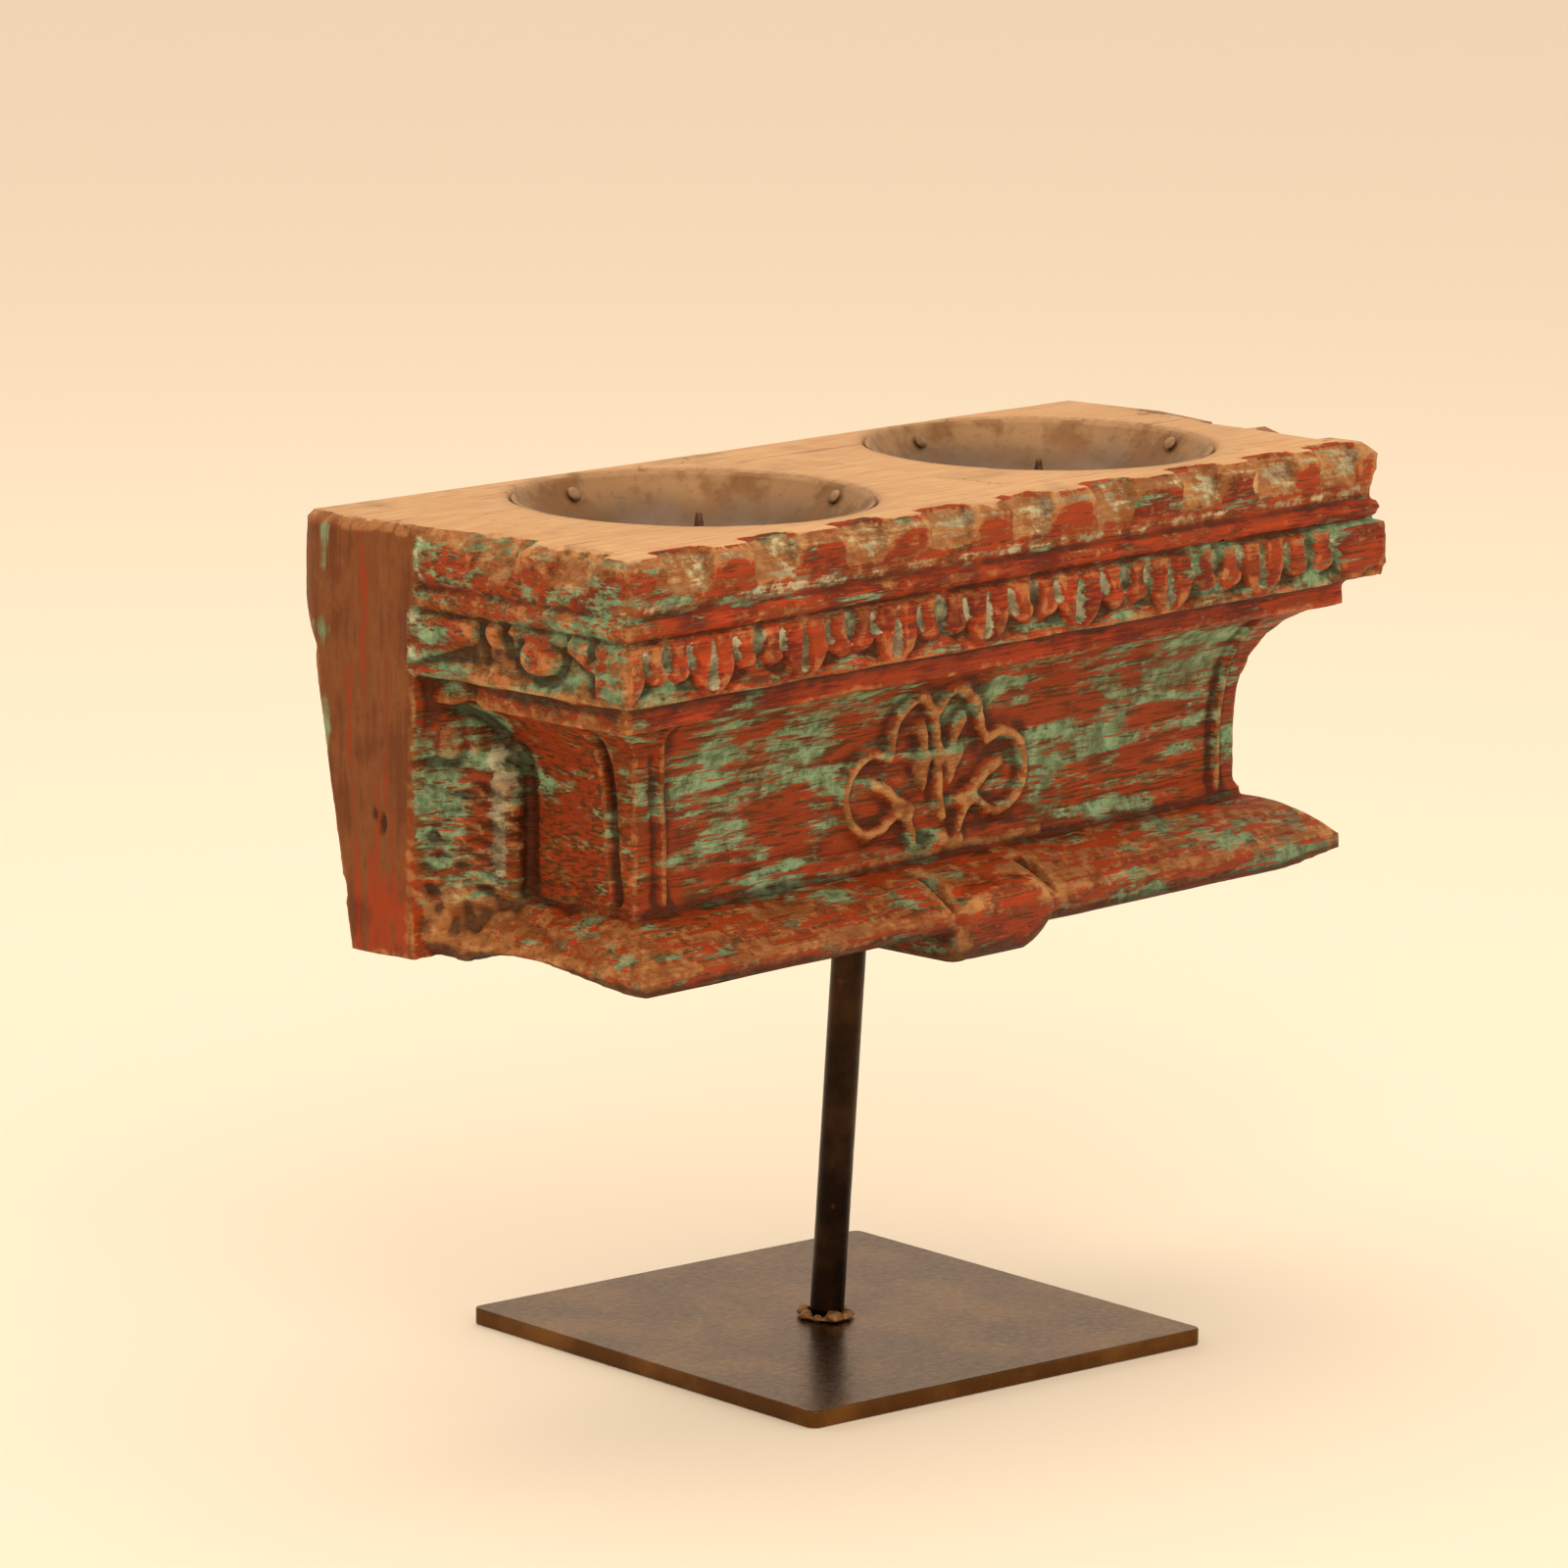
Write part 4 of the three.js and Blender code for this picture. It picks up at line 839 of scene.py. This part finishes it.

    # painted shade, with some grime in the hollows: darker in hollows, in the notches' left sides, on faces
    # that look down and along painted shadow lines
    # painted shadow lines round the leaves and slots, and painted shade in the left band's slots and deep
    # hole
    hollow = hollow * (1 - 0.45 * deep) * (1 - 0.7 * notch) * (1 - 0.6 * plank) + 0.5 * rim + 0.9 * pit
    # painted shade on the crest's walls that face left, away from the light
    hollow = hollow + 0.4 * smooth(-normals[:, 0], 0.4, 0.8) * crest * (z > 107) * (y < -16) * (x > -155)
    facing = carved & between(z, -40, 116)
    # painted shade on faces that look down: the lip's underside and the fillet's and band's undersides
    downward = relaxed(normals[:, 2], edges, 12)
    hollow = hollow + 0.9 * smooth(-downward, 0.0, 0.45) * facing * (z < 17)
    hollow = hollow + 0.5 * smooth(-downward, 0.3, 0.8) * facing * (z > 72)
    # painted shade along the lip's bottom edge and a painted shadow line under the panel's foot
    hollow = hollow + lip * 0.5 * smooth(4.9 - z, 0, 1.4) + 0.4 * bell(z, 17.2, 1.1) * (y < 0) * facing
    # painted shade in the plank end's checks and holes
    for place, size, deep in wood["checks"][:4]:
        hollow = hollow + 1.2 * spot(y, z, place, size) * (x < -150)
    # painted shadow on the scroll's flank beside the neck's end
    scrollFlankShadow = smooth(-x, 127, 128.5) * (x > -134) * between(z, 17, 56)
    hollow = hollow + 0.8 * bell(y, 37.5, 1.8) * scrollFlankShadow

    paint.update(hollow=hollow, ridge=ridge, rawTop=raw, smoke=smoke, plank=plank,
                 bareWood=np.clip(np.maximum(behind, under) * 0.9, 0, 1))
    for name, values in paint.items():
        setAttribute(mesh, name, relaxed(values.astype(float), edges, 1))


woodAttributes(carvedWood.data)

woodTones = {  # dark and light of each layer
    "wood": ((90, 46, 14), (144, 92, 42)),
    "plank": ((104, 54, 22), (144, 86, 44)),
    "tan": ((150, 88, 42), (206, 150, 94)),
    "teal": ((88, 110, 78), (140, 171, 134)),
    "red": ((104, 30, 7), (188, 66, 20)),
    "pale": ((104, 122, 96), (204, 204, 170)),
    "bare": ((74, 44, 28), (124, 80, 52)),
    "raw": ((190, 142, 98), (214, 174, 128)),
}


def woodMaterial():
    paint = Finish("wornPaintedWood")

    def layer(name, low, high, value, *shares):
        return paint.twoTone(paint.step(paint.spread(value, *shares), low, high), woodTones[name])

    def cover(name, *shares, low=0.41, high=0.57):
        return paint.step(paint.spread(paint.attribute(name), *shares), low, high)

    upright = paint.noise((150, 330, 26), 5, 0.62)
    flake = paint.noise(230, 6, 0.68)
    blotch = paint.noise(46, 4, 0.55)
    grain = paint.noise((38, 620, 620))
    plank = paint.attribute("plank")
    streak = paint.either(plank, paint.noise((36, 90, 260), 5, 0.62), upright)
    thin = paint.either(plank, paint.noise((80, 300, 1100), 4), upright)
    fleck = paint.either(plank, flake, upright)

    # paint layers over the wood, from the oldest
    redCover = cover("red", (streak, 1.1), (thin, 1.1), (fleck, 0.4), (blotch, 0.6))
    tealCover = cover("teal", (streak, -0.9), (thin, 0.9), (fleck, 0.4), (blotch, -0.9))
    rubbedCover = cover("rubbed", (streak, 0.9), (thin, -0.9), (fleck, 0.7))
    paleCover = cover("pale", (thin, 0.7), (fleck, 0.9), (blotch, 0.4))
    colour = paint.mix(plank, layer("wood", 0.38, 0.62, thin),
                       layer("plank", 0.3, 0.7, upright, (blotch, 1.1), (flake, 0.3)))
    colour = paint.mix(tealCover, colour, layer("teal", 0.35, 0.65, fleck))
    colour = paint.mix(redCover, colour, layer("red", 0.35, 0.65, blotch, (thin, 0.8)))
    tan = layer("tan", 0.36, 0.64, blotch, (fleck, 0.7), (thin, 0.5))
    colour = paint.over(colour, rubbedCover, 0.8, tan)
    colour = paint.over(colour, paleCover, 0.8, layer("pale", 0.35, 0.6, fleck))
    stain = paint.step(paint.spread(blotch, (streak, 0.9), (thin, 0.4)), 0.4, 0.7)
    colour = paint.over(colour, stain, 0.55, tone(86, 46, 12))
    colour = paint.over(colour, cover("ridge", (flake, 1.4), low=0.6, high=1.0), 0.42, tan)
    bare = cover("bareWood", (blotch, 0.6), low=0.4, high=0.6)
    colour = paint.mix(bare, colour, layer("bare", 0.35, 0.65, grain))

    # raw wood of the top, with bent cracks, straight checks, random patches of painted shade and smoke
    line = paint.maths("ABSOLUTE", paint.maths("SUBTRACT", paint.noise((16, 42, 42), 3, 0.55), 0.52))
    crack = paint.maths("SUBTRACT", 1.0, paint.step(paint.spread(line, (flake, 0.02)), 0.002, 0.009))
    crack = paint.maths("MULTIPLY", crack, paint.step(blotch, 0.48, 0.6))
    check = paint.step(paint.spread(paint.noise((9, 300, 300), 6), (blotch, 0.35)), 0.62, 0.7)
    raw = layer("raw", 0.2, 0.8, grain, (blotch, 0.5))
    raw = paint.over(raw, check, 0.55, tone(120, 78, 48))
    raw = paint.over(raw, crack, 0.6, tone(118, 76, 44))
    # random patches of painted shade on the raw top
    raw = paint.over(raw, paint.step(blotch, 0.5, 0.7), 0.4, tone(150, 104, 70))
    raw = paint.over(raw, paint.attribute("smoke"), 0.35, tone(112, 82, 58))
    colour = paint.mix(cover("rawTop", (flake, 0.9), low=0.4, high=0.6), colour, raw)

    # painted shade with some grime, dark brown, from the attribute above
    shadeAndGrimeShare = cover("hollow", (blotch, 0.5), low=0.2, high=1.0)
    colour = paint.over(colour, shadeAndGrimeShare, 0.75, tone(38, 20, 7))
    paint.give(BaseColor=colour, Roughness=0.6, SpecularIORLevel=0.22)
    height = paint.spread(0.0, (flake, 0.6), (grain, 0.4), (thin, 0.5), (redCover, 0.3), (tealCover, 0.15),
                          (paleCover, 0.3), (rubbedCover, -0.2))
    paint.relief(height, 0.55, 0.0007)
    return paint.material


finished(carvedWood, "bracket", woodMaterial())
print("wood painted")


# sheet-metal bowls
def buildBowl(side):
    widest = math.asin(bowl["radius"] / bowlSphere)
    inside, outside = [], []
    for i in range(bowl["rings"] + 1):
        turn = widest * i / bowl["rings"]
        for radius, line in ((bowlSphere, inside), (bowlSphere + bowl["sheet"], outside)):
            line.append((radius * math.sin(turn), bowlCentre - radius * math.cos(turn)))
    rim = [(outside[-1][0] - 0.05, bowl["rim"] - 0.05), (inside[-1][0] + 0.25, bowl["rim"] - 0.02)]
    outside[-1] = (outside[-1][0], min(outside[-1][1], bowl["rim"] - 0.25))
    x, y = bowl["places"][side]
    holder = fromBmesh("sheet_bowl_" + side, spun(outside + rim + inside[::-1], bowl["sides"], x, y))
    points = readPoints(holder.data)
    middle = np.array((x, y, bowlCentre)) - blockPlace
    ray = points - middle
    size = np.linalg.norm(ray, axis=1)
    dents = bowl["dents"] * (cellNoise(points, 17, 61) + 0.4 * cellNoise(points, 7, 62))
    dents = dents * smooth(-points[:, 2], -118.5, -112)  # the rim stays true
    writePoints(holder.data, middle + ray * ((size - np.abs(dents)) / size)[:, None])
    return holder


def bowlMaterial():
    patina = Finish("bowlPatina")
    blotch = patina.noise(38)
    fine = patina.noise(260, 5, 0.65)
    height = patina.add("ShaderNodeSeparateXYZ", {0: patina.where}).outputs[2]
    uneven = patina.maths("ADD", height, patina.maths("MULTIPLY", blotch, 0.008))
    grey = patina.twoTone(patina.step(blotch, 0.35, 0.65), ((112, 92, 76), (98, 72, 46)))
    colour = patina.mix(patina.step(uneven, 0.243, 0.253), grey, tone(162, 124, 86))
    # rust on the upper wall, then fine dark specks
    rust = patina.step(patina.noise(64, 4), 0.44, 0.6)
    rust = patina.maths("MULTIPLY", rust, patina.step(height, 0.236, 0.247))
    colour = patina.over(colour, rust, 0.75, tone(122, 78, 38))
    colour = patina.over(colour, patina.step(fine, 0.5, 0.7), 0.35, tone(84, 62, 44))
    patina.give(BaseColor=colour, Metallic=0.45, Roughness=0.5)
    patina.relief(fine, 0.3, 0.0004)
    return patina.material


patina = bowlMaterial()
for side in ("left", "right"):
    finished(buildBowl(side), "bowl_" + side, patina)
print("bowls done")


# iron spikes and nails
def ironMaterial(name, tones):
    iron = Finish(name)
    share = iron.step(iron.noise(240, 4), 0.4, 0.65)
    iron.give(BaseColor=iron.twoTone(share, tones), Metallic=0.35, Roughness=0.55)
    return iron.material


spike = {
    "foot": 4.4,
    "thickness": 0.9,
    "shaft": 1.8,
    "base": 0.55,
    "tip": 22.9,
    "point": 4.0,
    "turns": {"left": 3.4, "right": 0.0},
}


def buildSpike(side):
    foot, shaft, base = spike["foot"], spike["shaft"], spike["base"]
    top = base + spike["thickness"]
    start, end = top + 1.2, spike["tip"] - spike["point"]
    profile = [(0, base), (foot - 0.3, base), (foot, base + 0.3), (foot, top - 0.25), (foot - 0.3, top),
               (shaft + 0.5, top + 0.05), (shaft + 0.1, top + 0.5), (shaft, start)]
    profile += [(shaft * (1 - 0.04 * i), start + (end - start) * i / 6) for i in range(1, 7)]
    profile += [(shaft * (0.46 + 0.3 * t), spike["tip"] - spike["point"] * t) for t in (0.7, 0.4, 0.1)]
    profile += [(shaft * 0.36, spike["tip"] - 0.08), (0, spike["tip"])]
    shape = spun([(radius, height - bowlSphere) for radius, height in profile], 32)
    x, y = bowl["places"][side]
    turn = Matrix.Rotation(-math.radians(spike["turns"][side]), 4, "Y")
    place = Matrix.Translation(Vector((x, y, bowlCentre)) / 1000)
    bmesh.ops.transform(shape, matrix=place @ turn, verts=shape.verts)
    holder = fromBmesh("pin_" + side, shape)
    writePoints(holder.data, insideBox(readPoints(holder.data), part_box("spike_" + side), 0.01))
    return holder


def buildNail(name, node):
    # the solid's own outline, rounded finer
    holder = mergedCopy(name, node)
    soft = holder.modifiers.new("soft", "SUBSURF")
    soft.levels = soft.render_levels = 2
    applied(holder)
    return holder


spikeIron = ironMaterial("dullIron", ((70, 48, 36), (118, 84, 60)))
nailIron = ironMaterial("wornNailIron", ((112, 84, 56), (158, 126, 90)))
for side in ("left", "right"):
    finished(buildSpike(side), "spike_" + side, spikeIron)
    for i in range(1, 5):
        node = f"nail_{side}_{i}"
        finished(buildNail("round_" + node, node), node, nailIron)
print("iron done")


# steel rod, weld and plate
def steelMaterial(name, tones, roughness):
    steel = Finish(name)
    fine = steel.noise(420, 4)
    colour = steel.twoTone(steel.step(steel.noise(36), 0.4, 0.7), tones)
    spots = steel.step(steel.noise(150, 6, 0.7), 0.62, 0.72)
    colour = steel.over(colour, spots, 0.45, tone(104, 64, 36))
    steel.give(BaseColor=colour, Metallic=0.95, Roughness=steel.spread(roughness, (fine, 0.3)))
    steel.relief(fine, 0.25, 0.0003)
    return steel.material


post = {
    "foot": (-1.9, 2.1, 5.0),
    "lean": 2.6,
    "heading": -48,
    "radius": 5.0,
    "rings": 60,
    "sides": 64,
    "dents": 0.05,
}


def buildPost():
    low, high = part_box("post")
    lean, heading = math.radians(post["lean"]), math.radians(post["heading"])
    along = Vector((math.sin(lean) * math.cos(heading), math.sin(lean) * math.sin(heading), math.cos(lean)))
    length = (high[2] * 1000 - post["foot"][2]) / along[2] - 0.4
    profile = [(0.0, 0.0)]
    for i in range(post["rings"] + 1):
        profile.append((post["radius"] - 0.02, 0.7 + (length - 1.2) * i / post["rings"]))
    profile.append((0.0, length - 0.5))
    shape = spun(profile, post["sides"])
    turn = along.to_track_quat("Z", "X").to_matrix().to_4x4()
    place = Matrix.Translation(Vector(post["foot"]) / 1000)
    bmesh.ops.transform(shape, matrix=place @ turn, verts=shape.verts)
    holder = fromBmesh("steel_rod", shape)
    points = readPoints(holder.data)
    axis = np.array(along)
    ray = points - (np.array(post["foot"]) - blockPlace)
    ray = ray - np.outer(ray @ axis, axis)
    size = np.maximum(np.linalg.norm(ray, axis=1), 1e-6)
    dents = np.where(size > 1, post["dents"] * np.abs(layeredNoise(points, 6, 71)), 0)
    points = points - ray / size[:, None] * dents[:, None]
    points[:, 2] = insideBox(points, (low, high), 0.02)[:, 2]
    writePoints(holder.data, points)
    return holder


def buildWeld():
    holder = mergedCopy("weld_ring", "weld_bead")
    remeshed(holder, 0.28)
    points = relaxed(readPoints(holder.data), edgesOf(holder.data), 9)
    writePoints(holder.data, points)
    lumps = 0.22 * layeredNoise(points, 2.2, 81, layers=2) - 0.05
    points = points + normalsOf(holder.data) * lumps[:, None]
    writePoints(holder.data, insideBox(points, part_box("weld_bead"), 0))
    return holder


plate = {
    "side": 150.0,
    "thickness": 5.0,
    "corner": 3.0,
    "turn": -6.5,
    "arris": 0.5,
}


def buildPlate():
    shape = bmesh.new()
    half, corner = plate["side"] / 2 - 0.05, plate["corner"]
    outline = []
    for quarter in range(4):
        cornerX = (half - corner) * (1 if quarter in (0, 3) else -1)
        cornerY = (half - corner) * (1 if quarter in (0, 1) else -1)
        for i in range(9):
            turn = math.radians(90 * quarter + 90 * i / 8)
            outline.append((cornerX + corner * math.cos(turn), cornerY + corner * math.sin(turn)))
    face = shape.faces.new([shape.verts.new((x / 1000, y / 1000, 0.0001)) for x, y in outline])
    made = bmesh.ops.extrude_face_region(shape, geom=[face])
    top = [v for v in made["geom"] if isinstance(v, bmesh.types.BMVert)]
    bmesh.ops.translate(shape, vec=(0, 0, (plate["thickness"] - 0.15) / 1000), verts=top)
    sharp = [e for e in shape.edges if abs(e.verts[0].co.z - e.verts[1].co.z) < 1e-6]
    bmesh.ops.bevel(shape, geom=sharp, offset=plate["arris"] / 1000, offset_type="OFFSET", segments=3,
                    profile=0.5, affect="EDGES", material=-1)
    turn = Matrix.Rotation(math.radians(plate["turn"]), 3, "Z")
    bmesh.ops.rotate(shape, cent=(0, 0, 0), matrix=turn, verts=shape.verts)
    return fromBmesh("steel_plate", shape)


rodSteel = steelMaterial("blackRod", ((30, 20, 13), (64, 42, 26)), 0.4)
finished(buildPost(), "post", rodSteel)
weldSteel = steelMaterial("rustyWeld", ((134, 98, 62), (200, 158, 112)), 0.6)
finished(buildWeld(), "weld_bead", weldSteel)
plateSteel = steelMaterial("blackPlate", ((88, 56, 26), (118, 80, 38)), 0.3)
steelPlate = buildPlate()
finished(steelPlate, "base_plate", plateSteel)
steelPlate.data.polygons.foreach_set("use_smooth", [p.area < 1e-4 for p in steelPlate.data.polygons])
print("steel done")

camera = {
    "place": (-1.7454, -1.5556, 0.6103),
    "heading": 42.13,  # degrees of the view in plan, from +X
    "fall": 10.86,  # degrees that it looks down
    "roll": 0.76,
    "lens": 191.25,
}


def setCamera():
    heading, fall, roll = (math.radians(camera[key]) for key in ("heading", "fall", "roll"))
    level = math.cos(fall)
    forward = Vector((math.cos(heading) * level, math.sin(heading) * level, -math.sin(fall)))
    right = Vector((math.sin(heading), -math.cos(heading), 0))
    down = forward.cross(right)
    across = math.cos(roll) * right - math.sin(roll) * down
    lower = math.sin(roll) * right + math.cos(roll) * down
    turn = Matrix((across, -lower, -forward)).transposed()
    data = bpy.data.cameras.new("photoCamera")
    data.lens = camera["lens"]
    data.sensor_width = 36
    data.clip_end = 20
    holder = newObject("photoCamera", data)
    holder.matrix_world = Matrix.Translation(camera["place"]) @ turn.to_4x4()
    bpy.context.scene.camera = holder


lights = {  # place, side and power of two square soft lights
    "keyLight": ((-1.1, -1.3, 1.5), 1.0, 12),
    "topLight": ((0.3, 0.4, 1.8), 1.4, 11),
}


def setLights():
    for name, (place, side, power) in lights.items():
        data = bpy.data.lights.new(name, "AREA")
        data.shape = "RECTANGLE"
        data.size = data.size_y = side
        data.energy = power
        data.color = (1, 0.88, 0.72)
        holder = newObject(name, data)
        holder.location = place
        towards = Vector((0, 0, 0.15)) - Vector(place)
        holder.rotation_euler = towards.to_track_quat("-Z", "Y").to_euler()
    world = bpy.data.worlds.new("studio")
    bpy.context.scene.world = world
    world.use_nodes = True
    world.node_tree.nodes["Background"].inputs[0].default_value = (1, 0.83, 0.63, 1)
    world.node_tree.nodes["Background"].inputs[1].default_value = 0.92
    bpy.context.scene.view_settings.view_transform = "Standard"


setCamera()
setLights()
floor = bmesh.new()
bmesh.ops.create_grid(floor, x_segments=1, y_segments=1, size=9)
floorObject = fromBmesh("floor", floor)
paleFloor = Finish("paleFloor")
paleFloor.give(BaseColor=tone(247, 238, 225), Roughness=0.8)
floorObject.data.materials.append(paleFloor.material)
print("stage done")
